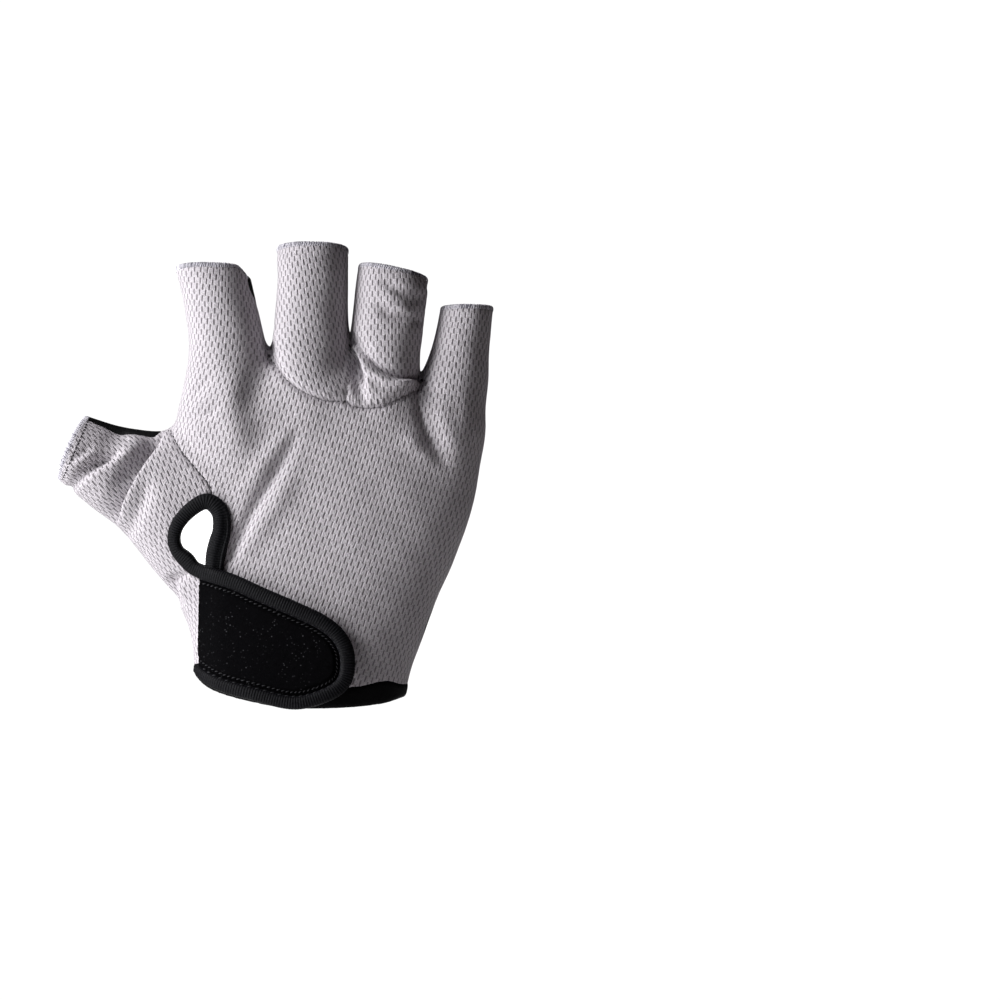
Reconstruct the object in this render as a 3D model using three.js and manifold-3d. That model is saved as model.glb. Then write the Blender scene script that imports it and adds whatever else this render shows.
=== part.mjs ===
// A fingerless cycling glove for the right hand, in the shape that it has on a hand.
// Millimetres. X runs across the hand from the thumb to the little finger, Z from the wrist
// to the fingertips, and Y from the back of the hand, at -Y, to the palm.
// The origin is the middle of the wrist opening.
import * as THREE from "three";
import { mergeVertices } from "three/addons/utils/BufferGeometryUtils.js";
import Module from "manifold-3d";

const wasm = await Module();
wasm.setup();

// Driving dimensions
const MESH_WALL = 1.6;
const PALM_WALL = 2.3;
const SEAM_GAP = 0.3;
const HEM_WIDTH = 2.6;
const CUFF_WIDTH = 6.4;
const SIDE_SEAM_Y = 3;
const STRAP_THICKNESS = 3;
const HOOK_THICKNESS = 1;
const STRAP_BINDING_HEIGHT = 3.8;
const KEYHOLE_BINDING_HEIGHT = 3.4;
const KEYHOLE_LIFT = 0.1;
const BULK = 220; // cutting blocks reach this far past the glove

// Outlines on the back of the hand are measured in the plane Y = 0 as seen from this eye point.
const EYE = new THREE.Vector3(64, -1067, 63);

// Each row is a flattened oval section: its two edge points, the depth of its middle,
// and how far it reaches from there to the back of the hand and to the palm.
const SECTION = ["leftX", "leftZ", "rightX", "rightZ", "middleY", "front", "rear"];

const HAND = named(SECTION, [
  [-31.5, -12, 32.0, -12, 0, 20.5, 20.0],
  [-32.5, 0, 33.6, 0, 0, 20.5, 20.5],
  [-33.8, 10, 36.0, 10, 0, 20.3, 21.5],
  [-34.6, 20, 39.6, 20, 0, 19.8, 22.5],
  [-35.6, 32, 44.2, 32, 0, 19.0, 22.5],
  [-36.6, 46, 50.2, 46, 0, 18.2, 21.5],
  [-37.4, 60, 55.0, 60, 0, 17.4, 19.5],
  [-38.6, 75, 58.0, 75, 0, 16.6, 17.5],
  [-39.2, 88, 59.2, 88, 0, 15.6, 15.8],
  [-36.0, 97, 57.0, 97, 0, 14.2, 14.0],
  [-32.0, 103.5, 42.0, 103.5, 0.3, 11.8, 11.4],
  [-26.0, 109.5, 31.0, 109.5, 0.6, 7.0, 7.0],
]);

const INDEX = named(SECTION, [
  [-33.0, 64, -11.0, 64, 0, 9.0, 9.0],
  [-37.2, 84, -7.6, 84, 0, 14.6, 14.0],
  [-37.1, 97, -8.4, 97, 0.2, 14.0, 13.2],
  [-35.9, 108, -9.3, 108, 0.6, 12.8, 12.2],
  [-36.2, 118, -11.6, 118, 1.4, 11.8, 11.4],
  [-38.0, 129, -14.8, 129, 2.6, 11.2, 10.8],
  [-40.1, 137.6, -17.0, 139.2, 3.8, 10.9, 10.4],
]);

const MIDDLE = named(SECTION, [
  [-6.0, 64, 13.0, 64, 0, 10.0, 10.0],
  [-8.6, 86, 15.6, 86, 0, 14.8, 14.0],
  [-9.6, 99, 16.0, 99, 0.2, 14.4, 13.2],
  [-9.6, 111, 16.0, 111, 0.6, 13.2, 12.2],
  [-7.8, 122, 15.4, 122, 1.4, 12.0, 11.4],
  [-6.8, 134, 15.3, 134, 2.8, 11.4, 10.8],
  [-8.0, 144.6, 15.4, 144.6, 4.4, 11.1, 10.5],
]);

const RING = named(SECTION, [
  [18.0, 64, 36.0, 64, 0, 10.0, 10.0],
  [16.2, 86, 38.0, 86, 0, 13.8, 13.2],
  [15.6, 99.8, 38.6, 99.8, 0.2, 13.6, 12.6],
  [15.7, 111, 38.6, 109.4, 0.6, 12.6, 11.8],
  [16.6, 120.6, 39.4, 119, 1.3, 11.5, 11.0],
  [17.6, 131.6, 40.6, 129, 2.4, 11.0, 10.6],
  [18.7, 139, 41.0, 134.6, 3.6, 10.8, 10.3],
]);

const LITTLE = named(SECTION, [
  [42.0, 60, 51.0, 60, 0, 6.0, 6.0],
  [37.6, 80, 58.6, 80, 0, 12.8, 12.2],
  [37.4, 91, 59.8, 91, 0.2, 12.2, 11.6],
  [38.5, 101, 60.2, 101, 0.6, 11.2, 10.8],
  [40.8, 109, 60.6, 109, 1.2, 10.2, 9.9],
  [43.4, 118, 61.3, 118, 2.0, 9.4, 9.2],
  [45.0, 125.2, 62.0, 125.2, 2.8, 9.1, 8.9],
]);

// With the thumb turned to point up, its left edge is the lower one in the hand's frame.
const THUMB = named(SECTION, [
  [-24.0, 16, -16.0, 74, 2.0, 11.0, 12.0],
  [-35.8, 26.5, -27.0, 82, 2.4, 14.8, 17.4],
  [-46.9, 40.5, -38.0, 85.2, 2.8, 15.4, 16.6],
  [-57.4, 53, -48.2, 85.2, 3.6, 13.6, 14.2],
  [-67.8, 61.2, -58.7, 86.8, 4.8, 11.8, 12.2],
  [-78.6, 70, -68.4, 89.2, 6.0, 10.4, 10.6],
]);

const LIMBS = {
  hand: { rows: HAND, around: 26, steps: 2, hollowSteps: 1, lean: 0, power: 2.35 },
  index: { rows: INDEX, around: 14, steps: 1, hollowSteps: 1, lean: 0.13, power: 2.15 },
  middle: { rows: MIDDLE, around: 14, steps: 1, hollowSteps: 1, lean: 0.14, power: 2.15 },
  ring: { rows: RING, around: 14, steps: 3, hollowSteps: 3, lean: 0.12, power: 2.15 },
  little: { rows: LITTLE, around: 14, steps: 1, hollowSteps: 1, lean: 0.06, power: 2.15 },
  thumb: { rows: THUMB, around: 16, steps: 2, hollowSteps: 1, lean: 0, power: 2.15 },
};

// Folds in the mesh on the back of the hand: a ridge above zero, a dent below it.
const FOLDS = named(["fromX", "fromZ", "toX", "toZ", "width", "height"], [
  [16.5, 113.5, 30, 107.5, 2.2, 1.3],
  [16.5, 109.5, 26, 102.5, 1.9, -1.3],
  [22, 108, 38, 103, 1.9, -1.3],
  [19, 104, 29, 98.5, 2.6, 1.0],
  [29, 101.5, 38, 99.5, 2.4, 1.2],
  [-4, 82, -21, 53, 3.4, -1.2],
  [3, 86, -16, 50, 4.2, 1.0],
  [40, 86, 51, 74, 4.0, -0.9],
  [-60, 83, -73, 76, 3.0, 1.0],
  [-56, 79, -70, 69, 2.6, -1.0],
]);

// Seams and outlines, in X and Z
const KNUCKLE_SEAM = [[-10.2, 112.6], [-10.2, 109.5], [-7.4, 105.2], [-2.6, 100.6], [3.6, 96.7],
  [11.5, 93.6], [16, 92.8], [23, 93.6], [30.4, 96.4], [36, 100], [39, 102.6]];
const FORK_SEAM = [[15.8, 113], [14.6, 106.2], [12.6, 99.8], [11.5, 93]];
const THUMB_SEAM = [[-44, 91.5], [-41, 86.2], [-38.4, 80.6], [-34.6, 74.2], [-31, 69.4], [-28.6, 65]];
const THUMB_FOLD = [[-47.2, 90], [-48, 87], [-52, 73.5], [-57.2, 57.8], [-59, 52]];
const KEYHOLE_PATH = named(["x", "z", "width"], [
  [-25.2, 1.5, 5],
  [-26.6, 20, 5],
  [-26.9, 36, 5],
  [-25.9, 45, 5.4],
  [-24.9, 52.6, 5.8],
  [-25.6, 59.2, 5.6],
  [-29.6, 62.6, 5.2],
  [-34.6, 60.2, 4.8],
  [-39, 55.4, 4.4],
  [-40.2, 50.8, 4.2],
  [-38.2, 46.4, 4.4],
  [-35.3, 42.8, 4.6],
]);
const SLIT_ROWS = 3; // the first rows of the path run up the slit, and the others round the keyhole
const STRAP_PATH = named(["x", "z", "width"], [
  [-33.0, 40.6, 4.6],
  [-27.2, 39.0, 4.8],
  [-19.7, 36.9, 4.8],
  [-9.9, 32.0, 4.8],
  [0, 27.5, 4.8],
  [7.1, 23.8, 4.8],
  [12.0, 19.7, 4.8],
  [14.7, 14.2, 4.8],
  [14.6, 7.2, 4.8],
  [12.0, 3.0, 4.6],
  [7.3, 0.3, 4.4],
  [0.8, -1.7, 4.2],
  [-5.0, -1.5, 4.2],
  [-13.2, 0.7, 4.2],
  [-22.9, 3.6, 4.2],
  [-30.6, 7.0, 4.2],
]);
const STRAP_ROOT = [[-32.6, 9.4], [-32.6, 37.6]];
const HOOK_OUTLINE = [[-16, 28], [-4, 22], [6, 16.5], [9.5, 11.5], [7.5, 5], [0, 2.5], [-16, 6]];
const RIM = [[-38, 12], [-33.5, 7.4], [-28, 3.4], [-18, 0.4], [-4, -2.2], [12, -2.4], [25, -1.8],
  [34, -0.8], [40, 1]];
const INDEX_SHOULDER = { x: -23.8, z: 128.6, radius: 9.4 };

// Tables and interpolation

function named(columns, data) {
  return data.map((row) => Object.fromEntries(columns.map((name, i) => [name, row[i]])));
}

function mixRows(rows, mix) {
  return Object.fromEntries(Object.keys(rows[0]).map((name) => [name, mix(...rows.map((r) => r[name]))]));
}

function catmullRom(a, b, c, d, t) {
  const slope = (c - a) * t;
  const square = (2 * a - 5 * b + 4 * c - d) * t ** 2;
  const cube = (3 * b - a - 3 * c + d) * t ** 3;
  return (2 * b + slope + square + cube) / 2;
}

function refined(rows, steps) {
  const fine = rows.slice(0, -1).flatMap((row, i) => {
    const around = [rows[Math.max(i - 1, 0)], row, rows[i + 1], rows[Math.min(i + 2, rows.length - 1)]];
    return Array.from({ length: steps }, (_, k) =>
      mixRows(around, (a, b, c, d) => catmullRom(a, b, c, d, k / steps)),
    );
  });
  return [...fine, rows.at(-1)];
}

// The section that lies a distance past the open end of a limb, or before it when negative
function rowPastEnd(rows, distance) {
  const middle = (r) => new THREE.Vector2((r.leftX + r.rightX) / 2, (r.leftZ + r.rightZ) / 2);
  const end = rows.at(-1);
  const before = rows.at(-2);
  const share = distance / middle(end).distanceTo(middle(before));
  return mixRows([before, end], (a, b) => b + (b - a) * share);
}

// Solids

function solid(geometry) {
  const plain = new THREE.BufferGeometry();
  plain.setAttribute("position", geometry.getAttribute("position"));
  plain.setIndex(geometry.index);
  const merged = mergeVertices(plain, 1e-4);
  return new wasm.Manifold(
    new wasm.Mesh({
      numProp: 3,
      vertProperties: new Float32Array(merged.attributes.position.array),
      triVerts: new Uint32Array(merged.index.array),
    }),
  );
}

function indexed(points, triangles) {
  const geometry = new THREE.BufferGeometry().setFromPoints(points);
  geometry.setIndex(triangles);
  return geometry;
}

// Joins rings of equally many points into a closed skin with a fan at either end.
function skinned(rings, outwardFirst) {
  const count = rings[0].length;
  const points = rings.flat();
  const triangles = [];
  const add = (a, b, c) => triangles.push(...(outwardFirst ? [a, b, c] : [a, c, b]));
  for (let i = 0; i < rings.length - 1; i++)
    for (let j = 0; j < count; j++) {
      const [a, b] = [i * count + j, i * count + ((j + 1) % count)];
      add(a, b, a + count);
      add(b, b + count, a + count);
    }
  [0, rings.length - 1].forEach((i) => {
    const centre = rings[i].reduce((sum, p) => sum.add(p), new THREE.Vector3()).divideScalar(count);
    points.push(centre);
    for (let j = 0; j < count; j++) {
      const [a, b] = [i * count + j, i * count + ((j + 1) % count)];
      if (i === 0) add(b, a, points.length - 1);
      else add(a, b, points.length - 1);
    }
  });
  return solid(indexed(points, triangles));
}

function foldHeight(x, z) {
  return FOLDS.reduce((sum, fold) => {
    const run = new THREE.Vector2(fold.toX - fold.fromX, fold.toZ - fold.fromZ);
    const here = new THREE.Vector2(x - fold.fromX, z - fold.fromZ);
    const along = THREE.MathUtils.clamp(here.dot(run) / run.lengthSq(), 0, 1);
    const off = here.sub(run.multiplyScalar(along)).length();
    return sum + fold.height * Math.exp(-((off / fold.width) ** 2));
  }, 0);
}

// inset: how far the side, front and rear of the section move in. Negative values move them out.
function sectionRing(row, limb, inset) {
  const bent = (value) => Math.sign(value) * Math.abs(value) ** (2 / limb.power);
  const half = new THREE.Vector2(row.rightX - row.leftX, row.rightZ - row.leftZ).divideScalar(2);
  const shrink = 1 - inset.side / half.length();
  return Array.from({ length: limb.around }, (_, i) => {
    const angle = (2 * Math.PI * i) / limb.around;
    const across = bent(Math.cos(angle)) * shrink;
    const raise = bent(Math.sin(angle));
    const x = (row.leftX + row.rightX) / 2 + across * half.x;
    const z = (row.leftZ + row.rightZ) / 2 + across * half.y;
    const depth = raise > 0 ? raise * (row.front - inset.front) : raise * (row.rear - inset.rear);
    const fold = Math.max(raise, 0) * foldHeight(x, z);
    return new THREE.Vector3(x, row.middleY - depth - fold, z + limb.lean * depth);
  });
}

function loft(limb, inset, rows = refined(limb.rows, limb.steps)) {
  return skinned(rows.map((row) => sectionRing(row, limb, inset)), false);
}

function evenInset(depth) {
  return { side: depth, front: depth, rear: depth };
}

// A straight block whose outline in X and Z runs from one Y to another
function prism(outline, fromY = -BULK, toY = BULK) {
  const shape = new THREE.Shape(outline.map(([x, z]) => new THREE.Vector2(x, z)));
  const block = new THREE.ExtrudeGeometry(shape, { depth: toY - fromY, bevelEnabled: false });
  block.rotateX(Math.PI / 2);
  block.translate(0, toY, 0);
  return solid(block);
}

function smooth(outline, count, closed = false) {
  const points = outline.map(([x, z]) => new THREE.Vector3(x, 0, z));
  const curve = new THREE.CatmullRomCurve3(points, closed, "centripetal");
  const samples = curve.getSpacedPoints(count).map((p) => [p.x, p.z]);
  return closed ? samples.slice(0, -1) : samples;
}

// Moves a line sideways: to its right, seen along it with -Y towards the eye, when positive.
function shifted(line, distance) {
  return line.map(([x, z], i) => {
    const [ax, az] = line[Math.max(i - 1, 0)];
    const [bx, bz] = line[Math.min(i + 1, line.length - 1)];
    const length = Math.hypot(bx - ax, bz - az);
    return [x + ((bz - az) / length) * distance, z - ((bx - ax) / length) * distance];
  });
}

function shiftedLoop(loop, distance) {
  const wrapped = [loop.at(-1), ...loop, loop[0]];
  return shifted(wrapped, -distance).slice(1, -1);
}

// Cuts a solid along a line into the piece on the side that the corners close off and the rest.
function cutAlong(body, line, corners, side) {
  const half = (side * SEAM_GAP) / 2;
  const inner = body.intersect(prism([...shifted(line, half), ...corners]));
  const outer = body.subtract(prism([...shifted(line, -half), ...corners]));
  return [inner, outer];
}

// The outer surface, the hollow and the wall between them

const outerSkin = Object.values(LIMBS)
  .map((limb) => loft(limb, evenInset(0)))
  .reduce((all, part) => all.add(part));

function hollowOf(limb) {
  const inset = { side: MESH_WALL, front: MESH_WALL, rear: PALM_WALL };
  const rows = refined(limb.rows, limb.hollowSteps);
  if (limb === LIMBS.hand) {
    const top = rows.at(-1);
    const lowered = { ...top, leftZ: top.leftZ - PALM_WALL, rightZ: top.rightZ - PALM_WALL };
    return loft(limb, inset, [...rows.slice(0, -1), lowered]);
  }
  return loft(limb, inset, [...rows, rowPastEnd(rows, HEM_WIDTH)]);
}

const hollow = Object.values(LIMBS).map(hollowOf).reduce((all, part) => all.add(part));

const surface = new THREE.Mesh(geometryOf(outerSkin), new THREE.MeshBasicMaterial({ side: THREE.DoubleSide }));
const caster = new THREE.Raycaster();

function geometryOf(made) {
  const mesh = made.getMesh();
  const geometry = new THREE.BufferGeometry();
  geometry.setAttribute("position", new THREE.BufferAttribute(new Float32Array(mesh.vertProperties), 3));
  geometry.setIndex(new THREE.BufferAttribute(new Uint32Array(mesh.triVerts), 1));
  return geometry;
}

// The point of the outer surface that the eye sees at a point of the plane Y = 0
function seen(x, z) {
  caster.set(EYE, new THREE.Vector3(x, 0, z).sub(EYE).normalize());
  const [hit] = caster.intersectObject(surface);
  return hit ? hit.point : new THREE.Vector3(x, 0, z);
}

function seenOutline(outline) {
  return outline.map(([x, z]) => seen(x, z)).map((p) => [p.x, p.z]);
}

function surfaceNormal(point) {
  const reach = 2.5;
  const at = (dx, dz) => seen(point.x + dx, point.z + dz);
  const across = at(reach, 0).sub(at(-reach, 0));
  const up = at(0, reach).sub(at(0, -reach));
  return across.cross(up).normalize();
}

// A flattened cord that lies on the surface: each row has x, z and width.
function band(path, height, lift, grow, sides = 8) {
  const curve = new THREE.CatmullRomCurve3(
    path.map(({ x, z, width }) => new THREE.Vector3(x, width, z)), false, "centripetal");
  const samples = curve.getSpacedPoints(path.length * 2).map((p) => {
    const at = seen(p.x, p.z);
    return { at, normal: surfaceNormal(new THREE.Vector3(p.x, 0, p.z)), width: p.y };
  });
  const rings = samples.map(({ at, normal, width }, i) => {
    const before = samples[Math.max(i - 1, 0)].at;
    const after = samples[Math.min(i + 1, samples.length - 1)].at;
    const tangent = after.clone().sub(before).normalize();
    const side = normal.clone().cross(tangent).normalize();
    const centre = at.clone().addScaledVector(normal, lift);
    return Array.from({ length: sides }, (_, j) => {
      const angle = (2 * Math.PI * (j + 0.5)) / sides;
      return centre.clone()
        .addScaledVector(side, (width / 2 + grow) * Math.cos(angle))
        .addScaledVector(normal, (height / 2 + grow) * Math.sin(angle));
    });
  });
  return skinned(rings, true);
}

// Cut-outs of the wall

function belowRim(lift) {
  const line = smooth(RIM, 10).map(([x, z]) => [x, z + lift]);
  return prism([...line, [BULK, -BULK], [-BULK, -BULK]]);
}

function shoulderCorner() {
  const { x, z, radius } = INDEX_SHOULDER;
  const arc = new THREE.Path().absarc(x, z, radius, 0, Math.PI / 2).getPoints(5).map((p) => [p.x, p.y]);
  return prism([[x + radius, z], ...arc.slice(1), [x, z + 30], [x + radius + 2, z + 30], [x + radius + 2, z]]);
}

function endSlice(limb, depth) {
  const rows = [rowPastEnd(limb.rows, -depth), limb.rows.at(-1), rowPastEnd(limb.rows, 3)];
  return loft({ ...limb, around: 8 }, evenInset(-2.5), rows);
}

const keyholeBinding = band(KEYHOLE_PATH, KEYHOLE_BINDING_HEIGHT, KEYHOLE_LIFT, 0);
const keyholeRoom = band(KEYHOLE_PATH, KEYHOLE_BINDING_HEIGHT + 5, -1, SEAM_GAP);
const keyholeHole = prism(seenOutline(KEYHOLE_PATH.slice(SLIT_ROWS).map(({ x, z }) => [x, z])), -BULK, SIDE_SEAM_Y);

let wall = outerSkin.subtract(hollow).subtract(belowRim(0));
wall = wall.subtract(shoulderCorner());

const pieces = {};

for (const finger of ["index", "middle", "ring", "little", "thumb"]) {
  const limb = LIMBS[finger];
  pieces[`${finger}_hem`] = wall.intersect(endSlice(limb, HEM_WIDTH));
  wall = wall.subtract(endSlice(limb, HEM_WIDTH + SEAM_GAP));
}

pieces.cuff_hem = wall.intersect(belowRim(CUFF_WIDTH)).subtract(keyholeRoom);
wall = wall.subtract(belowRim(CUFF_WIDTH + SEAM_GAP));

const [thumbTube, handWall] = cutAlong(wall, THUMB_FOLD, [[-BULK, 40], [-BULK, BULK]], 1);

// The thumb's side seam runs in front of the thumb along its upper edge.
const thumbTilt = THREE.MathUtils.degToRad(16);
const thumbBlock = new THREE.BoxGeometry(BULK, BULK, BULK);

function thumbHalf(direction) {
  const middle = new THREE.Vector3(-62, 4.2, 74);
  const axis = new THREE.Vector3(-11, 0, 6).normalize();
  const block = thumbBlock.clone();
  block.translate(0, (direction * (BULK + SEAM_GAP)) / 2, 0);
  const turn = new THREE.Matrix4().makeRotationAxis(axis, thumbTilt);
  block.applyMatrix4(turn);
  block.translate(middle.x, middle.y, middle.z);
  return solid(block);
}

pieces.thumb_back = thumbTube.intersect(thumbHalf(-1));
pieces.thumb_palm = thumbTube.intersect(thumbHalf(1));

const wide = [[-BULK, -BULK], [BULK, -BULK], [BULK, BULK], [-BULK, BULK]];
pieces.palm_panel = handWall.intersect(prism(wide, SIDE_SEAM_Y + SEAM_GAP / 2, BULK));

const back = handWall
  .intersect(prism(wide, -BULK, SIDE_SEAM_Y - SEAM_GAP / 2))
  .subtract(keyholeHole)
  .subtract(keyholeRoom);

const slit = KEYHOLE_PATH.slice(0, SLIT_ROWS + 4).reverse().map(({ x, z }) => [x, z]);
const [thumbBase, backRest] = cutAlong(
  back, [...seenOutline([...THUMB_SEAM, ...slit]), [-24, -BULK]], [[-BULK, -BULK], [-BULK, 92]], 1);
pieces.thumb_base_panel = thumbBase;

const [fingerPair, backPanel] = cutAlong(
  backRest, seenOutline(KNUCKLE_SEAM), [[44.5, 135], [44.5, BULK * 2], [-12, BULK * 2], [-12, 135]], -1);
pieces.back_panel = backPanel;
const [middleBack, ringBack] = cutAlong(
  fingerPair, seenOutline(FORK_SEAM), [[11.5, 80], [-20, 80], [-20, BULK * 2], [17.2, BULK * 2], [17.1, 145], [16, 120]], 1);
pieces.middle_back = middleBack;
pieces.ring_back = ringBack;

pieces.keyhole_binding = keyholeBinding;

// The strap lies on the wall in its own layer, with the hook patch in a pocket under it.

function layer(inner, outer) {
  const cover = (depth) => loft(LIMBS.hand, evenInset(-depth)).add(loft(LIMBS.thumb, evenInset(-depth)));
  return cover(outer).subtract(cover(inner));
}

const underStrap = band(KEYHOLE_PATH, KEYHOLE_BINDING_HEIGHT, KEYHOLE_LIFT, SEAM_GAP);
const hookOutline = seenOutline(HOOK_OUTLINE);
pieces.hook_patch = prism(hookOutline, -BULK, 0).intersect(layer(SEAM_GAP, SEAM_GAP + HOOK_THICKNESS));
const hookRoom = prism(shiftedLoop(hookOutline, SEAM_GAP), -BULK, 0)
  .intersect(layer(0, 2 * SEAM_GAP + HOOK_THICKNESS));

const strapLine = STRAP_PATH.map(({ x, z }) => [x, z]);
const strapInside = shifted(strapLine, STRAP_PATH[2].width / 2 + SEAM_GAP);
const tabOutline = seenOutline([...smooth(strapInside, 30), ...STRAP_ROOT]);
pieces.strap_tab = prism(tabOutline, -BULK, 0)
  .intersect(layer(SEAM_GAP, SEAM_GAP + STRAP_THICKNESS))
  .subtract(hookRoom)
  .subtract(underStrap);

const strapLift = SEAM_GAP + STRAP_BINDING_HEIGHT / 2;
pieces.strap_binding = band(STRAP_PATH, STRAP_BINDING_HEIGHT, strapLift, 0)
  .subtract(underStrap)
  .subtract(hookRoom);

// Materials and meshes

const meshFabric = new THREE.MeshStandardMaterial({ color: 0xbab4ba, roughness: 0.85 });
const palmLeather = new THREE.MeshStandardMaterial({ color: 0x17171a, roughness: 0.65 });
const overlockThread = new THREE.MeshStandardMaterial({ color: 0x9a96a0, roughness: 0.9 });
const ribbedTape = new THREE.MeshStandardMaterial({ color: 0x131318, roughness: 0.6 });
const blackPile = new THREE.MeshStandardMaterial({ color: 0x08080a, roughness: 0.95 });

const COVERS = {
  back_panel: meshFabric,
  middle_back: meshFabric,
  ring_back: meshFabric,
  thumb_base_panel: meshFabric,
  thumb_back: meshFabric,
  palm_panel: palmLeather,
  thumb_palm: palmLeather,
  index_hem: overlockThread,
  middle_hem: overlockThread,
  ring_hem: overlockThread,
  little_hem: overlockThread,
  thumb_hem: overlockThread,
  cuff_hem: ribbedTape,
  keyhole_binding: ribbedTape,
  strap_binding: ribbedTape,
  strap_tab: blackPile,
  hook_patch: blackPile,
};

const glove = new THREE.Group();
for (const [name, material] of Object.entries(COVERS)) {
  const mesh = new THREE.Mesh(geometryOf(pieces[name]), material);
  mesh.name = name;
  glove.add(mesh);
}

export default glove;
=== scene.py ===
# The looks of a fingerless cycling glove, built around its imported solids.
# Shapes are worked out in millimetres, and each mesh is made in metres.
# X runs across the hand from the thumb to the little finger, Z from the wrist to the fingertips,
# and Y from the back of the hand, at -Y, to the palm.
import math
from collections import namedtuple

import bpy
import numpy as np
import openvdb
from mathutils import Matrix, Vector
from mathutils.bvhtree import BVHTree
from mathutils.kdtree import KDTree


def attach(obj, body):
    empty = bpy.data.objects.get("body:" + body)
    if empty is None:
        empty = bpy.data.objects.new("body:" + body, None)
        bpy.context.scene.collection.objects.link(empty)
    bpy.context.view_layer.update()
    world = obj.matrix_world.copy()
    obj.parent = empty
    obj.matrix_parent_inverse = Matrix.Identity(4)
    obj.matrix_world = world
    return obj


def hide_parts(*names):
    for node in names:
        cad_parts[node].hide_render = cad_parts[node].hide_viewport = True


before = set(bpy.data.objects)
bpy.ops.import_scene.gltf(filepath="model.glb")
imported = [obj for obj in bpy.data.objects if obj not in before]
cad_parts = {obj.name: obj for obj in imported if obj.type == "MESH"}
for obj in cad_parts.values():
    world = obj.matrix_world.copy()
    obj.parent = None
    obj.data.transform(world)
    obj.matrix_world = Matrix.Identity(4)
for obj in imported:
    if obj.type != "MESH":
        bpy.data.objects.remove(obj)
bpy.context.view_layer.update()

MM = 0.001
TINY = 1e-12
SEED = 7

# Outlines on the back of the hand are measured in the plane Y = 0 as seen from this eye point.
EYE = np.array([64.0, -1067.0, 63.0])

# Cloth and trim
VOXEL = 0.75
CLOTH = 1.1
LEATHER = 1.5
SIDE_SEAM_Y = 3.0
CUFF_WIDTH = 6.4
WEAVE_COLUMN = 2.2
WEAVE_ROW = 3.7

# Each row of a limb is a flattened oval section. Its columns are left_x, left_z, right_x and right_z,
# the two edge points, middle_y, the depth of its middle, and front and rear, how far it reaches from
# there to the back of the hand and to the palm.
HAND = [
    [-31.5, -12, 32.0, -12, 0, 20.5, 20.0],
    [-32.5, 0, 33.6, 0, 0, 20.5, 20.5],
    [-33.8, 10, 36.0, 10, 0, 20.3, 21.5],
    [-34.6, 20, 39.6, 20, 0, 19.8, 22.5],
    [-35.6, 32, 44.2, 32, 0, 19.0, 22.5],
    [-36.6, 46, 50.2, 46, 0, 18.2, 21.5],
    [-37.4, 60, 55.0, 60, 0, 17.4, 19.5],
    [-38.6, 75, 57.2, 75, 0, 16.6, 17.5],
    [-39.2, 88, 57.6, 88, 0, 15.6, 15.8],
    [-36.0, 97, 50.5, 97, 0, 14.2, 14.0],
    [-32.0, 103.5, 31.0, 103.5, 0.3, 11.8, 11.4],
    [-26.0, 109.5, 28.0, 109.5, 0.6, 7.0, 7.0],
]
INDEX = [
    [-33.0, 64, -11.0, 64, 0, 9.0, 9.0],
    [-37.2, 84, -7.6, 84, 0, 14.6, 14.0],
    [-37.1, 97, -8.4, 97, 0.2, 14.0, 13.2],
    [-35.9, 108, -9.4, 108, 0.6, 12.8, 12.2],
    [-35.8, 113, -10.8, 113, 1.0, 12.3, 11.8],
    [-36.2, 118, -12.0, 118, 1.4, 11.8, 11.4],
    [-38.0, 129, -14.8, 129, 2.6, 11.2, 10.8],
    [-40.8, 138.7, -17.0, 138.7, 3.8, 10.9, 10.4],
]
MIDDLE = [
    [-6.0, 64, 13.0, 64, 0, 10.0, 10.0],
    [-8.6, 86, 15.6, 86, 0, 14.8, 14.0],
    [-9.6, 99, 16.0, 99, 0.2, 14.4, 13.2],
    [-9.7, 110.6, 16.0, 110.2, 0.6, 13.2, 12.2],
    [-8.1, 116.4, 15.8, 116.4, 1.0, 12.6, 11.8],
    [-7.6, 122, 15.4, 122, 1.4, 12.0, 11.4],
    [-6.8, 134, 15.3, 134, 2.8, 11.4, 10.8],
    [-8.0, 144.6, 15.4, 144.6, 4.4, 11.1, 10.5],
]
RING = [
    [18.0, 64, 36.0, 64, 0, 10.0, 10.0],
    [16.2, 86, 38.0, 86, 0, 13.8, 13.2],
    [15.6, 99.8, 38.3, 99.8, 0.2, 13.6, 12.6],
    [15.6, 112.3, 38.4, 109.4, 0.6, 12.6, 11.8],
    [16.6, 120.6, 39.4, 119, 1.3, 11.5, 11.0],
    [17.6, 131.6, 40.6, 129, 2.4, 11.0, 10.6],
    [18.7, 139, 41.0, 134.6, 3.6, 10.8, 10.3],
]
LITTLE = [
    [42.0, 60, 51.0, 60, 0, 6.0, 6.0],
    [37.6, 80, 57.2, 80, 0, 12.8, 12.2],
    [37.4, 91, 59.1, 91, 0.2, 12.2, 11.6],
    [38.3, 101, 60.2, 101, 0.6, 11.2, 10.8],
    [41.2, 109, 60.6, 109, 1.2, 10.2, 9.9],
    [43.6, 118, 61.3, 118, 2.0, 9.4, 9.2],
    [45.0, 125.2, 62.0, 125.2, 2.8, 9.1, 8.9],
]
# With the thumb turned to point up, its left edge is the lower one in the hand's frame.
THUMB = [
    [-24.0, 16, -16.0, 74, 2.0, 11.0, 12.0],
    [-35.8, 26.5, -27.0, 82, 2.4, 14.8, 17.4],
    [-46.9, 40.5, -38.0, 85.2, 2.8, 15.4, 16.6],
    [-57.4, 53, -48.2, 85.2, 3.6, 13.6, 14.2],
    [-67.8, 61.2, -58.7, 86.8, 4.8, 12.9, 12.2],
    [-78.4, 70, -69.6, 90.2, 5.6, 12.6, 10.8],
]
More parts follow.
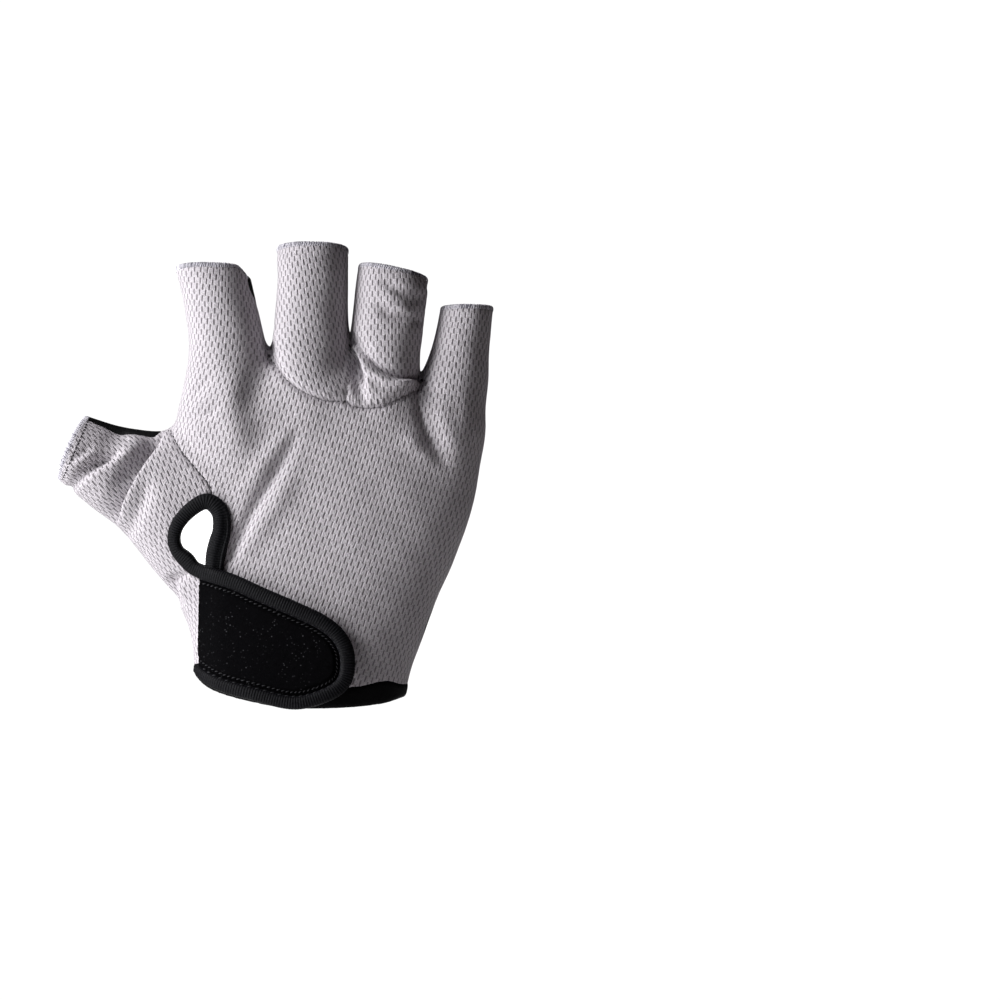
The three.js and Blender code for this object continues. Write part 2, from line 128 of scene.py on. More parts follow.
# lean: how much a section tips forward. blend: how softly a finger grows out of the hand.
LIMBS = {
    "hand": {"rows": HAND, "lean": 0.0, "power": 2.35, "blend": 0.0},
    "index": {"rows": INDEX, "lean": 0.13, "power": 2.15, "blend": 5.0},
    "middle": {"rows": MIDDLE, "lean": 0.14, "power": 2.15, "blend": 2.5},
    "ring": {"rows": RING, "lean": 0.12, "power": 2.15, "blend": 2.5},
    "little": {"rows": LITTLE, "lean": 0.06, "power": 2.15, "blend": 5.0},
    "thumb": {"rows": THUMB, "lean": 0.0, "power": 2.15, "blend": 7.0},
}
FINGERS = ["index", "middle", "ring", "little", "thumb"]

# Seams and outlines on the back of the hand, in X and Z
KNUCKLE_SEAM = [[-10.2, 112.6], [-10.2, 109.5], [-7.9, 106.2], [-4.6, 101.8], [-0.7, 98.6],
                [3.6, 96.4], [8.4, 94.8], [14.6, 94.5], [17.3, 93], [21.5, 92.3], [26.4, 93],
                [30.1, 94.7], [34.8, 97.1], [37.6, 99.2], [39, 102]]
FORK_SEAM = [[15.8, 113], [16.4, 109.4], [16, 106], [15.2, 100], [14.7, 93.6]]
THUMB_SEAM = [[-44, 91.5], [-41.6, 85.6], [-39.6, 81.2], [-37.2, 77.5], [-34.2, 74], [-31.4, 70.7],
              [-29, 67.6], [-28.2, 64.5]]
THUMB_FOLD = [[-41.6, 92], [-43.4, 83.8], [-46.7, 78.2], [-51.4, 70.2], [-55.2, 63.3], [-57.4, 57.4],
              [-60, 51.5]]
# How far the thumb's tube runs on under the folded edge
TUCK = 4.0
RIM = [[-38, 12], [-33.5, 7.4], [-28, 3.4], [-18, 0.4], [-4, -2.2], [12, -2.4], [25, -1.6],
       [32, -0.2], [40, 2]]
# How far each finger's open end lies below the end of its limb
END_DROP = {"index": 1.3, "middle": 0.7, "ring": 0.4, "little": 0.2, "thumb": 0.0}
INDEX_SHOULDER = {"x": -25.9, "z": 127.9, "radius": 11.1, "wide": 1.01, "reach": 12.0}
# Above two, the rounded corner is squarer than a circle.
SHOULDER_POWER = 2.2
SHOULDER_EASE = 0.7

# The binding of the slit and the keyhole: x, z, width. The first rows run up the slit.
KEYHOLE_PATH = [
    [-25.2, 1.5, 5], [-26.6, 20, 5], [-27.3, 36, 5.4],
    [-27.1, 44, 6.3], [-26.1, 49, 6.4], [-25.0, 53.4, 5.9],
    [-25.6, 59.2, 5.6], [-29.6, 62.6, 5.2], [-34.6, 60.2, 4.8], [-39, 55.4, 4.4],
    [-40.3, 50.8, 4.2], [-39.2, 46.8, 4.4], [-36.3, 43.9, 5.4], [-33.6, 41.1, 4.8], [-29.6, 39.8, 4.4],
]
SLIT_ROWS = 3
# The rows from the foot of the slit to the top of the keyhole
SEAM_SIDE_ROWS = 8
# The binding round the strap: x, z, width
STRAP_PATH = [
    [-34.6, 41.7, 4.2], [-31.1, 40.0, 4.6], [-27.0, 38.9, 4.8], [-19.7, 36.3, 4.8], [-9.9, 31.6, 4.8],
    [0, 27.3, 4.8],
    [7.1, 23.8, 4.8], [12.0, 19.7, 4.8], [14.7, 14.2, 4.8], [14.6, 7.2, 4.8], [12.0, 3.0, 4.6],
    [7.3, 0.3, 4.4], [0.8, -1.7, 4.2], [-5.0, -1.5, 4.2], [-13.2, 0.7, 4.2], [-22.9, 3.6, 4.2],
    [-29.4, 6.8, 3.6], [-32.4, 9.2, 2.6],
]
STRAP_ROOT_X = -31.9


# Tables and curves

def refined(rows, steps):
    """Rows of numbers with smooth rows put between them."""
    rows = np.array(rows, float)
    padded = np.vstack([rows[:1], rows, rows[-1:]])
    fine = []
    for a, b, c, d in zip(padded, padded[1:], padded[2:], padded[3:]):
        for step in range(steps):
            t = step / steps
            square = (2 * a - 5 * b + 4 * c - d) * t ** 2
            cube = (3 * b - a - 3 * c + d) * t ** 3
            fine.append((2 * b + (c - a) * t + square + cube) / 2)
    return np.array(fine + [rows[-1]])


def evenly(points, spacing, closed=False):
    """Points of a line laid out again at an even spacing. Other columns follow the first three."""
    points = np.array(points, float)
    if closed:
        points = np.vstack([points, points[:1]])
    steps = np.linalg.norm(np.diff(points[:, :3], axis=0), axis=1)
    run = np.concatenate([[0], np.cumsum(steps)])
    count = max(int(round(run[-1] / spacing)), 2)
    places = np.linspace(0, run[-1], count + 1)
    if closed:
        places = places[:-1]
    return np.column_stack([np.interp(places, run, column) for column in points.T])


def smoothstep(low, high, value):
    t = np.clip((value - low) / (high - low), 0, 1)
    return t * t * (3 - 2 * t)


def unit(vectors):
    length = np.linalg.norm(vectors, axis=-1, keepdims=True)
    return vectors / np.maximum(length, TINY)


def bell(off, reach):
    """One at an offset of zero, and nearly nothing from twice the reach on."""
    return np.exp(-((off / reach) ** 2))


def oval(around, power):
    """Across and rise of points round a rounded square. A power of two gives a circle."""
    angle = np.arange(around) * 2 * math.pi / around
    return [np.sign(turn) * np.abs(turn) ** (2 / power) for turn in (np.cos(angle), np.sin(angle))]


# The form of the filled glove: a soft union of the limbs' distance fields

SECTION_STEPS = 8
SECTION_POINTS = 72
# How far a finger's form runs on past its last row
PAST_END = 6.0
GRID_LOW = np.array([-92.0, -32.0, -20.0])
GRID_HIGH = np.array([72.0, 32.0, 158.0])
BAND = 12


def section_ring(row, limb):
    left_x, left_z, right_x, right_z, middle_y, front, rear = row
    across, rise = oval(SECTION_POINTS, limb["power"])
    depth = np.where(rise > 0, rise * front, rise * rear)
    x = (left_x + right_x) / 2 + across * (right_x - left_x) / 2
    z = (left_z + right_z) / 2 + across * (right_z - left_z) / 2 + limb["lean"] * depth
    return np.column_stack([x, middle_y - depth, z])


def limb_rings(limb):
    rows = refined(limb["rows"], SECTION_STEPS)
    if limb is not LIMBS["hand"]:
        middles = (rows[-2:, :2] + rows[-2:, 2:4]) / 2
        step = np.linalg.norm(middles[1] - middles[0])
        rows = np.vstack([rows, rows[-1] + (rows[-1] - rows[-2]) * PAST_END / step])
    return np.array([section_ring(row, limb) for row in rows])


def distance_field(limb):
    """Signed distances to a limb's skin, on the shared grid, in millimetres."""
    points, triangles = tube(limb_rings(limb))
    grid = openvdb.FloatGrid.createLevelSetFromPolygons(
        ((points - GRID_LOW) / VOXEL).astype(np.float32),
        triangles=np.ascontiguousarray(triangles, np.uint32),
        transform=openvdb.createLinearTransform(voxelSize=1.0),
        halfWidth=BAND,
    )
    shape = tuple(np.ceil((GRID_HIGH - GRID_LOW) / VOXEL).astype(int))
    field = np.full(shape, float(BAND), np.float32)
    grid.copyToArray(field, ijk=(0, 0, 0))
    return field * VOXEL


def soft_union(a, b, blend):
    near = np.maximum(blend - np.abs(a - b), 0) / blend
    return np.minimum(a, b) - near * near * blend / 4


def filled_form():
    hand = distance_field(LIMBS["hand"])
    body = hand
    for name in FINGERS:
        grown = soft_union(hand, distance_field(LIMBS[name]), LIMBS[name]["blend"])
        body = np.minimum(body, grown)
    grid = openvdb.FloatGrid(background=BAND * VOXEL)
    grid.copyFromArray(np.clip(body, -BAND * VOXEL, BAND * VOXEL))
    points, quads = grid.convertToQuads(0.0)
    return points * VOXEL + GRID_LOW, triangulated(points, quads.astype(int))


def triangulated(points, quads):
    a, b, c, d = (points[quads[:, i]] for i in range(4))
    short = np.linalg.norm(a - c, axis=1) <= np.linalg.norm(b - d, axis=1)
    first = np.where(short[:, None], quads[:, [0, 1, 2]], quads[:, [0, 1, 3]])
    second = np.where(short[:, None], quads[:, [0, 2, 3]], quads[:, [1, 2, 3]])
    return np.vstack([first, second])


# Mesh tools

def edge_pairs(triangles):
    return np.vstack([triangles[:, [0, 1]], triangles[:, [1, 2]], triangles[:, [2, 0]]])


def edges_of(triangles):
    return np.unique(np.sort(edge_pairs(triangles), axis=1), axis=0)


def border_edges(triangles):
    """Directed edges that belong to one triangle only."""
    pairs = edge_pairs(triangles)
    keys = np.sort(pairs, axis=1)
    _, inverse, counts = np.unique(keys, axis=0, return_inverse=True, return_counts=True)
    return pairs[counts[inverse.ravel()] == 1]


def on_border(points, triangles):
    """True for the points on a panel's border."""
    found = np.zeros(len(points), bool)
    found[np.unique(border_edges(triangles))] = True
    return found


def scattered(index, values, size):
    return np.column_stack([np.bincount(index, column, size) for column in values.T])


def normals_of(points, triangles):
    a, b, c = (points[triangles[:, i]] for i in range(3))
    face = np.cross(b - a, c - a)
    total = sum(scattered(triangles[:, i], face, len(points)) for i in range(3))
    return unit(total)


def relaxed(points, triangles, rounds, fixed=None):
    """Moves each point half way to the mean of its neighbours, round by round."""
    edges = edges_of(triangles)
    size = len(points)
    degree = np.bincount(edges.ravel(), minlength=size)[:, None]
    share = 0.5 if fixed is None else np.where(fixed[:, None], 0, 0.5)
    for _ in range(rounds):
        total = scattered(edges[:, 0], points[edges[:, 1]], size)
        total += scattered(edges[:, 1], points[edges[:, 0]], size)
        points = points + share * (total / np.maximum(degree, 1) - points)
    return points


# A crossing this near to an edge's end, as a share of the edge, moves into the end.
SNAP = 0.12


def split(points, triangles, labels, values, chosen):
    """Splits the chosen triangles along the line where the values are zero."""
    values = values.copy()
    edges = edges_of(triangles[chosen])
    a, b = edges.T
    crossing = values[a] * values[b] < 0
    share = np.where(crossing, values[a] / np.where(crossing, values[a] - values[b], 1), 0.5)
    values[a[crossing & (share < SNAP)]] = 0
    values[b[crossing & (share > 1 - SNAP)]] = 0
    crossing = values[a] * values[b] < 0
    a, b = a[crossing], b[crossing]
    share = (values[a] / (values[a] - values[b]))[:, None]
    size = len(points)
    keys = a * size + b
    order = np.argsort(keys)
    middle_points = points[a] * (1 - share) + points[b] * share

    def middle(p, q):
        wanted = np.minimum(p, q) * size + np.maximum(p, q)
        return size + order[np.searchsorted(keys[order], wanted)]

    signs = np.sign(values[triangles])
    mixed = chosen & (signs.max(axis=1) > 0) & (signs.min(axis=1) < 0)
    whole = ~mixed
    with_zero = mixed & (signs == 0).any(axis=1)
    without = mixed & ~with_zero
    made = [triangles[whole]]
    made_labels = [labels[whole]]

    def rolled(rows, first):
        turn = (first[:, None] + np.arange(3)) % 3
        return np.take_along_axis(rows, turn, axis=1).T

    z, p, q = rolled(triangles[with_zero], np.argmax(signs[with_zero] == 0, axis=1))
    m = middle(p, q) if len(z) else z
    made += [np.column_stack([z, p, m]), np.column_stack([z, m, q])]
    made_labels += [labels[with_zero]] * 2
    total = signs[without].sum(axis=1, keepdims=True)
    lone = np.argmax(signs[without] == -total, axis=1)
    t, p, q = rolled(triangles[without], lone)
    if len(t):
        m1, m2 = middle(t, p), middle(t, q)
        made += [np.column_stack([t, m1, m2]), np.column_stack([m1, p, q]), np.column_stack([m1, q, m2])]
        made_labels += [labels[without]] * 3
    points = np.vstack([points, middle_points])
    values = np.concatenate([values, np.zeros(len(middle_points))])
    return points, np.vstack(made), np.concatenate(made_labels), values


def trimmed(points, triangles, field):
    """A mesh cut along the line where a field is zero, without the part where it is above zero."""
    every = np.ones(len(triangles), bool)
    points, triangles, _, values = split(points, triangles, every, field(points), every)
    return points, triangles[values[triangles].sum(axis=1) < 0]


def seen_plane(points):
    """Where the eye sees the points in the plane Y = 0, as X and Z."""
    away = points - EYE
    return EYE[[0, 2]] + away[:, [0, 2]] * (-EYE[1] / away[:, 1])[:, None]


def polygon_distance(places, polygon):
    """Distance to a closed outline, below zero inside it."""
    a = np.array(polygon, float)
    b = np.roll(a, -1, axis=0)
    nearest = np.full(len(places), np.inf)
    inside = np.zeros(len(places), bool)
    for (ax, az), (bx, bz) in zip(a, b):
        run = np.array([bx - ax, bz - az])
        away = places - [ax, az]
        t = np.clip(away @ run / max(run @ run, TINY), 0, 1)
        nearest = np.minimum(nearest, np.hypot(*(away - t[:, None] * run).T))
        if az != bz:
            across = (az > places[:, 1]) != (bz > places[:, 1])
            inside ^= across & (places[:, 0] < (bx - ax) * (places[:, 1] - az) / (bz - az) + ax)
    return np.where(inside, -nearest, nearest)


def line_distance(places, line):
    """Distance to an open line and the share of the way along it at the nearest place."""
    line = np.array(line, float)
    steps = np.linalg.norm(np.diff(line, axis=0), axis=1)
    run_at = np.concatenate([[0], np.cumsum(steps)])
    nearest = np.full(len(places), np.inf)
    along = np.zeros(len(places))
    for a, b, start, step in zip(line, line[1:], run_at, steps):
        run = b - a
        t = np.clip((places - a) @ run / max(run @ run, TINY), 0, 1)
        off = np.linalg.norm(places - a - t[:, None] * run, axis=1)
        closer = off < nearest
        nearest[closer] = off[closer]
        along[closer] = (start + t * step)[closer] / run_at[-1]
    return nearest, along


LINE_STEPS = 12


def smooth_line(points, spacing=1.0):
    """A smooth line through points, as X and Z, with any further columns."""
    fine = np.insert(refined(points, LINE_STEPS), 2, 0, axis=1)
    return np.delete(evenly(fine, spacing), 2, axis=1)


# Cutting the form into the glove's pieces

REMOVED = "removed"
FAR = 400.0
# How far below its hem's rim the cloth ends, and how far along the index finger's shoulder
HEM_COVER = 1.6
SHOULDER_COVER = 0.6 * HEM_COVER
# How far past a finger's sides the plane of its end still cuts
END_MARGIN = 2.2


def end_plane(name, depth):
    """A point on the plane of a finger's open end and the plane's direction."""
    rows = np.array(LIMBS[name]["rows"], float)
    left, right, middle_y = rows[-1, :2], rows[-1, 2:4], rows[-1, 4]
    before = (rows[-2, :2] + rows[-2, 2:4]) / 2
    edge = right - left
    out = np.array([-edge[1], edge[0]]) / np.linalg.norm(edge)
    middle = (left + right) / 2
    if (middle - before) @ out < 0:
        out = -out
    lean = LIMBS[name]["lean"]
    direction = unit(np.array([out[0], lean, out[1]]))
    point = np.array([middle[0], middle_y, middle[1]]) - direction * (depth + END_DROP[name])
    return point, direction


def past_ends(points, depth):
    """Above zero past the open ends of the fingers, at a depth inside them."""
    field = np.full(len(points), -FAR)
    for name in FINGERS:
        point, direction = end_plane(name, depth)
        rows = np.array(LIMBS[name]["rows"], float)
        middle = np.array([point[0], point[2]])
        half = np.linalg.norm(rows[-1, 2:4] - rows[-1, :2]) / 2 + END_MARGIN
        side = unit(np.array([rows[-1, 2] - rows[-1, 0], rows[-1, 3] - rows[-1, 1]]))
        off = np.abs((points[:, [0, 2]] - middle) @ side) - half
        past = (points - point) @ direction
        field = np.maximum(field, np.where(off < 0, past, -FAR))
    return field


def past_shoulder(points, depth):
    """Above zero in the corner that the index finger's rounded shoulder leaves out."""
    x, z, radius, wide, reach = INDEX_SHOULDER.values()
    end, _ = end_plane("index", 0)
    leaned = points[:, 2] + LIMBS["index"]["lean"] * (points[:, 1] - end[1])
    away = np.column_stack([(points[:, 0] - x) / wide, leaned - z])
    length = (np.maximum(away, 0) ** SHOULDER_POWER).sum(axis=1) ** (1 / SHOULDER_POWER)
    corner = length - radius + depth * smoothstep(0, radius / 2, away[:, 1])
    corner -= SHOULDER_EASE * (1 - smoothstep(0, radius / 5, away[:, 1]))
    near = (away[:, 1] > 0) & (np.abs(away[:, 0]) < reach)
    return np.where(near, corner, -FAR)


def below_rim(points, lift):
    """Above zero below the wrist's edge, raised by a lift."""
    line = smooth_line(RIM)
    height = np.interp(points[:, 0], line[:, 0], line[:, 1])
    return height + lift - points[:, 2]


# Where the cuff's hem narrows towards the sides: from x, to x, by how much
CUFF_SIDES = [[-30, -35, 4], [28, 35, 2.5]]
CUFF_BULGE = {"x": 26, "reach": 4, "height": 0.8}


def cuff_width(x):
    """The hem's height round the wrist."""
    width = CUFF_WIDTH
    for start, end, less in CUFF_SIDES:
        width = width - less * smoothstep(start, end, x)
    return width + CUFF_BULGE["height"] * bell(x - CUFF_BULGE["x"], CUFF_BULGE["reach"])


# The thumb's side seam falls across the thumb's tube from its height at a point there.
THUMB_SIDE = {"point": [-62, 74], "way": [6.0, 11.0], "height": 4.2, "fall": 0.42}
# Bulges of the side seam in the web of the thumb: x, height
WEB_BULGES = [[-40, 6], [-48, 0.8]]
WEB_BULGE_REACH = 5
# Where the side seam shifts to the back of the hand: z, reach, how far
SIDE_SHIFTS = {"wrist": [23, 9, 4.6], "shoulder": [131.5, 4.5, 4]}
# Where each part of the side seam fades in, along X or, for the web, along Z
SIDE_FADES = {
    "thumb": (-42, -47),
    "web_low": (76, 82),
    "web_high": (94, 88),
    "wrist": (30, 38),
    "shoulder_left": (-22, -17),
    "shoulder_right": (-10, -12),
}


def side_field(points):
    """Above zero on the palm's side of the side seams."""
    x, y, z = points.T
    up = (points[:, [0, 2]] - THUMB_SIDE["point"]) @ unit(np.array(THUMB_SIDE["way"]))
    along = {"thumb": x, "web_low": z, "web_high": z, "wrist": x, "shoulder_left": x, "shoulder_right": x}
    fades = {name: smoothstep(*SIDE_FADES[name], place) for name, place in along.items()}
    thumb_seam = THUMB_SIDE["height"] - THUMB_SIDE["fall"] * up
    seam = SIDE_SEAM_Y * (1 - fades["thumb"]) + thumb_seam * fades["thumb"]
    for centre, height in WEB_BULGES:
        seam = seam + height * bell(x - centre, WEB_BULGE_REACH) * fades["web_low"] * fades["web_high"]
    shifts = {name: shift * bell(z - centre, reach) for name, (centre, reach, shift) in SIDE_SHIFTS.items()}
    shoulder = shifts["shoulder"] * fades["shoulder_left"] * fades["shoulder_right"]
    return y - (seam - shifts["wrist"] * fades["wrist"] - shoulder)


KEYHOLE_LINE = [[x, z] for x, z, _ in KEYHOLE_PATH]
HOLE = KEYHOLE_LINE[SLIT_ROWS:]
SLIT = KEYHOLE_LINE[:SEAM_SIDE_ROWS][::-1]
THUMB_BASE_OUTLINE = [*THUMB_SEAM, *SLIT, [-24, -FAR], [-FAR, -FAR], [-FAR, 92]]
FINGER_PAIR_OUTLINE = [*KNUCKLE_SEAM, [44.5, 135], [44.5, FAR], [-12, FAR], [-12, 135]]
MIDDLE_OUTLINE = [*FORK_SEAM, [14.6, 80], [-20, 80], [-20, FAR], [17.2, FAR], [17.1, 145], [16, 120]]
THUMB_TUBE_OUTLINE = [*THUMB_FOLD, [-FAR, 40], [-FAR, FAR]]
# Each panel is made of one or more cut regions. The tuck belongs to both pieces that overlap there.
REGIONS = ["back_panel", "middle_back", "ring_back", "thumb_base_panel", "thumb_back",
           "palm_panel", "thumb_palm", "cuff_hem", "tuck"]


def to_tube(points):
    """Distance to the outline of the thumb's tube, below zero on the tube."""
    return polygon_distance(points[:, [0, 2]], THUMB_TUBE_OUTLINE)


def seen_inside(outline):
    """A field that is above zero where the eye sees the inside of an outline."""
    return lambda p: -polygon_distance(seen_plane(p), outline)


# Each cut takes what is above zero in a field away from some regions, and gives it to another one.
CUTTING = [
    (lambda p: past_ends(p, HEM_COVER), REGIONS, REMOVED),
    (lambda p: below_rim(p, 0), REGIONS, REMOVED),
    (lambda p: below_rim(p, cuff_width(p[:, 0])), ["back_panel"], "cuff_hem"),
    (side_field, ["back_panel"], "palm_panel"),
    (lambda p: past_shoulder(p, SHOULDER_COVER), ["back_panel"], REMOVED),
    (lambda p: past_shoulder(p, 0), ["palm_panel"], REMOVED),
    (lambda p: TUCK - to_tube(p), ["back_panel"], "tuck"),
    (lambda p: -to_tube(p), ["tuck"], "thumb_back"),
    (lambda p: -to_tube(p), ["palm_panel"], "thumb_palm"),
    (seen_inside(HOLE), ["back_panel", "cuff_hem"], REMOVED),
    (lambda p: polygon_distance(seen_plane(p), THUMB_BASE_OUTLINE), ["tuck"], "back_panel"),
    (seen_inside(THUMB_BASE_OUTLINE), ["back_panel"], "thumb_base_panel"),
    (seen_inside(FINGER_PAIR_OUTLINE), ["back_panel"], "ring_back"),
    (seen_inside(MIDDLE_OUTLINE), ["ring_back"], "middle_back"),
]


def cut_pieces(points, triangles):
    """Cuts the form along its rims and seams, and returns a region's number for each triangle."""
    number = {name: i for i, name in enumerate([*REGIONS, REMOVED])}
    labels = np.full(len(triangles), number["back_panel"])
    for field, regions, result in CUTTING:
        numbers = [number[name] for name in regions]
        chosen = np.isin(labels, numbers)
        points, triangles, labels, values = split(points, triangles, labels, field(points), chosen)
        past = values[triangles].sum(axis=1) > 0
        labels = np.where(np.isin(labels, numbers) & past, number[result], labels)
    return points, triangles, labels


def piece_of(points, triangles, *others):
    """The points that the triangles use, the triangles among them, and other rows for these points."""
    used, inverse = np.unique(triangles, return_inverse=True)
    return (points[used], inverse.reshape(-1, 3), *(rows[used] for rows in others))


def outward(points, triangles):
    """The triangles of a closed body, turned to face out."""
    a, b, c = (points[triangles[:, i]] for i in range(3))
    volume = np.einsum("ij,ij->i", a, np.cross(b, c)).sum()
    return triangles if volume > 0 else triangles[:, ::-1]


def joined(bodies):
    """Several bodies as one: points, triangles and a material number for each triangle."""
    points, triangles, kinds, start = [], [], [], 0
    for body_points, body_triangles, kind in bodies:
        points.append(body_points)
        triangles.append(body_triangles + start)
        kinds.append(np.broadcast_to(kind, (len(body_triangles),)))
        start += len(body_points)
    return np.vstack(points), np.vstack(triangles), np.concatenate(kinds)


def tube(rings, closed=False):
    """Rings of equally many points, as an array, joined into a closed body."""
    count, around = rings.shape[:2]
    points = rings.reshape(-1, 3)
    rows = np.arange(count if closed else count - 1)
    start = np.arange(around)
    a = (rows[:, None] * around + start).ravel()
    b = (rows[:, None] * around + (start + 1) % around).ravel()
    onwards = ((rows + 1) % count)[:, None] * around
    c = (onwards + start).ravel()
    d = (onwards + (start + 1) % around).ravel()
    triangles = [np.column_stack([a, c, b]), np.column_stack([b, c, d])]
    if not closed:
        first, last = len(points), len(points) + 1
        points = np.vstack([points, rings[0].mean(axis=0), rings[-1].mean(axis=0)])
        following = (start + 1) % around
        top = (count - 1) * around
        triangles.append(np.column_stack([start, following, np.full(around, first)]))
        triangles.append(np.column_stack([top + following, top + start, np.full(around, last)]))
    triangles = np.vstack(triangles)
    return points, outward(points, triangles)


def subdivided(points, triangles, *others):
    """Each triangle split into four, with the other rows of numbers halved along the edges too."""
    edges = edges_of(triangles)
    size = len(points)
    keys = edges[:, 0] * size + edges[:, 1]

    def middle(p, q):
        return size + np.searchsorted(keys, np.minimum(p, q) * size + np.maximum(p, q))

    a, b, c = triangles.T
    ab, bc, ca = middle(a, b), middle(b, c), middle(c, a)
    corners = [(a, ab, ca), (ab, b, bc), (ca, bc, c), (ab, bc, ca)]
    finer = np.vstack([np.column_stack(corner) for corner in corners])
    halved = [np.vstack([rows, (rows[edges[:, 0]] + rows[edges[:, 1]]) / 2]) for rows in (points, *others)]
    return (halved[0], finer, *halved[1:])


# Relief: the folds, puffs and seams of the worn cloth

# A fold follows a line on the back of the hand. Its height is above zero for a ridge, and ends are
# the shares of it that are left at the line's two ends. A sharp one has a narrow bottom.
Fold = namedtuple("Fold", ["line", "width", "height", "ends", "sharp"], defaults=[False])
FOLDS = [
    Fold([[-1.4, 88], [-2.9, 84.9], [-8.7, 79.1], [-14.4, 71.7], [-19, 64]], 2.6, 0.6, (0.1, 0.3)),
    Fold([[-1.2, 84.5], [-3.6, 79.4], [-9.6, 69.1], [-14.8, 60.5], [-19, 52], [-22.3, 44.6]],
         2.0, -1.6, (0.2, 0.6)),
    Fold([[-0.4, 74], [-4.2, 67.4], [-8.5, 60], [-13.4, 52.6], [-17.5, 46.5]], 3.0, 0.85, (0.2, 0.7)),
    Fold([[-37, 88.6], [-32, 89.6], [-28.6, 90.9], [-24.4, 94.8]], 1.6, -0.7, (0.9, 0.0)),
    Fold([[-35.4, 94], [-31.8, 99], [-27, 103.2]], 1.7, -0.6, (0.6, 0.0)),
    Fold([[37.9, 102], [37.9, 98], [38.4, 91.3], [40.5, 84.5], [43.4, 78.8], [46.4, 74]],
         1.5, -1.7, (0.6, 0.1), sharp=True),
    Fold([[39.4, 102], [40.2, 93], [42.6, 84.4], [48, 74]], 3.4, -1.2, (0.2, 0.1)),
    Fold([[33, 84.5], [38.6, 79], [44, 74]], 2.8, 0.85, (0.1, 0.2)),
    Fold([[49.2, 99], [50, 89.3], [52.5, 78.8]], 3.0, -0.35, (0.2, 0.0)),
    Fold([[-9.6, 112], [-11.4, 105.6], [-15.4, 97.4], [-18.2, 87]], 4.4, -1.2, (1.0, 0.1)),
    Fold([[-69.5, 67.5], [-64.6, 71.9], [-59.1, 76.8], [-54.5, 79.5], [-51, 82]], 2.3, 0.9, (0.3, 0.6)),
    Fold([[-60.5, 66.5], [-58.9, 68.8], [-56.4, 71.8], [-52.8, 75.4], [-48.8, 79.4], [-46.5, 81.6]],
         2.0, -2.1, (0.2, 0.8)),
    Fold([[-68, 70], [-62.5, 77.5], [-57.5, 85]], 4.0, -1.5, (0.2, 0.8)),
    Fold([[-25.5, 108], [-22.6, 100.5], [-21.2, 93], [-20.4, 85], [-20, 74]], 6.0, 1.7, (0.2, 0.3)),
    Fold([[-48.6, 70], [-50.4, 64], [-53, 57.5], [-54.6, 53]], 2.4, -1.3, (0.1, 0.8)),
    Fold([[-9.9, 112.3], [-9.6, 109.8], [-8.2, 106.8]], 0.9, -1.6, (1.0, 0.1), sharp=True),
]
# The ring finger's base is bunched into rolls.
RING_FOLDS = [
    Fold([[14.9, 114.2], [15.9, 111.4], [16.6, 109.2], [18, 106.9], [19.3, 103.5], [20.8, 99]],
         0.8, -3.0, (0.5, 0.0), sharp=True),
    Fold([[16.9, 113.4], [19.2, 110.2], [22.5, 107.3], [25.6, 105], [28.9, 103.3], [32.9, 102.1],
          [38.6, 102.3]], 0.85, -3.6, (0.5, 0.9), sharp=True),
    Fold([[16.7, 112], [18.4, 108.6], [21.3, 105.2], [24.7, 102.8], [29.3, 100.8], [34, 100.4]],
         1.7, 1.5, (0.9, 0.6)),
    Fold([[29, 99.6], [33, 100.4], [36.2, 101.2], [39, 102.2]], 1.8, 1.3, (0.1, 1.0)),
    Fold([[20.4, 104.4], [21.6, 100.6], [22.8, 97]], 1.6, 0.9, (0.6, 0.2)),
    Fold([[16.3, 109.4], [17.8, 104.5], [19, 99.5], [20.2, 95.6]], 2.0, -2.1, (0.8, 0.5)),
    Fold([[16.6, 115.6], [20, 112.4], [24, 110.6]], 1.6, -0.7, (1.0, 0.0)),
    Fold([[25, 134], [28.5, 131.5], [33, 128.6], [37, 127.4]], 1.9, -0.9, (0.1, 0.6)),
    Fold([[26, 131], [30.4, 128], [35, 124.4]], 1.5, 0.6, (0.1, 0.2)),
    Fold([[24.2, 126], [27.4, 123.2], [31.4, 121.4], [37, 120.4]], 1.8, -1.2, (0.1, 0.5)),
    Fold([[25.4, 127.8], [31, 125], [36, 122.2]], 1.3, 0.6, (0.1, 0.3)),
]
# Folds that reach round to the side, at the thumb and the wrist
SIDE_FOLDS = [
    Fold([[-73.8, 66.4], [-69.1, 72.2], [-61.6, 76.9], [-56.5, 79.8]], 1.5, -3.2, (0.32, 0.1)),
    Fold([[-75, 73.4], [-69.6, 76.2], [-65.4, 78.2]], 1.4, 0.6, (1.0, 0.1)),
    Fold([[-73, 76], [-69.8, 78], [-66.6, 80.8]], 1.5, -0.8, (0.8, 0.2)),
    Fold([[-41.2, 37.2], [-40.4, 34.6], [-39.2, 31.8], [-37.6, 29]], 1.2, -1.7, (0.8, 0.2)),
    Fold([[-38.6, 36.4], [-37.8, 33.6], [-36.6, 31]], 1.3, 0.5, (0.6, 0.2)),
    Fold([[-41.9, 37.8], [-39.3, 38.5], [-36.1, 39.1]], 0.8, -1.2, (0.8, 0.5), sharp=True),
    Fold([[-41.7, 36.6], [-39.5, 37.2], [-36.7, 37.8]], 0.8, -1.0, (0.8, 0.4), sharp=True),
]
# Where along its line, as a share, a fold reaches its full height and leaves it
FOLD_TAPER = [0, 0.3, 0.7, 1]
# How far it fades past its ends
FOLD_FADE = 3


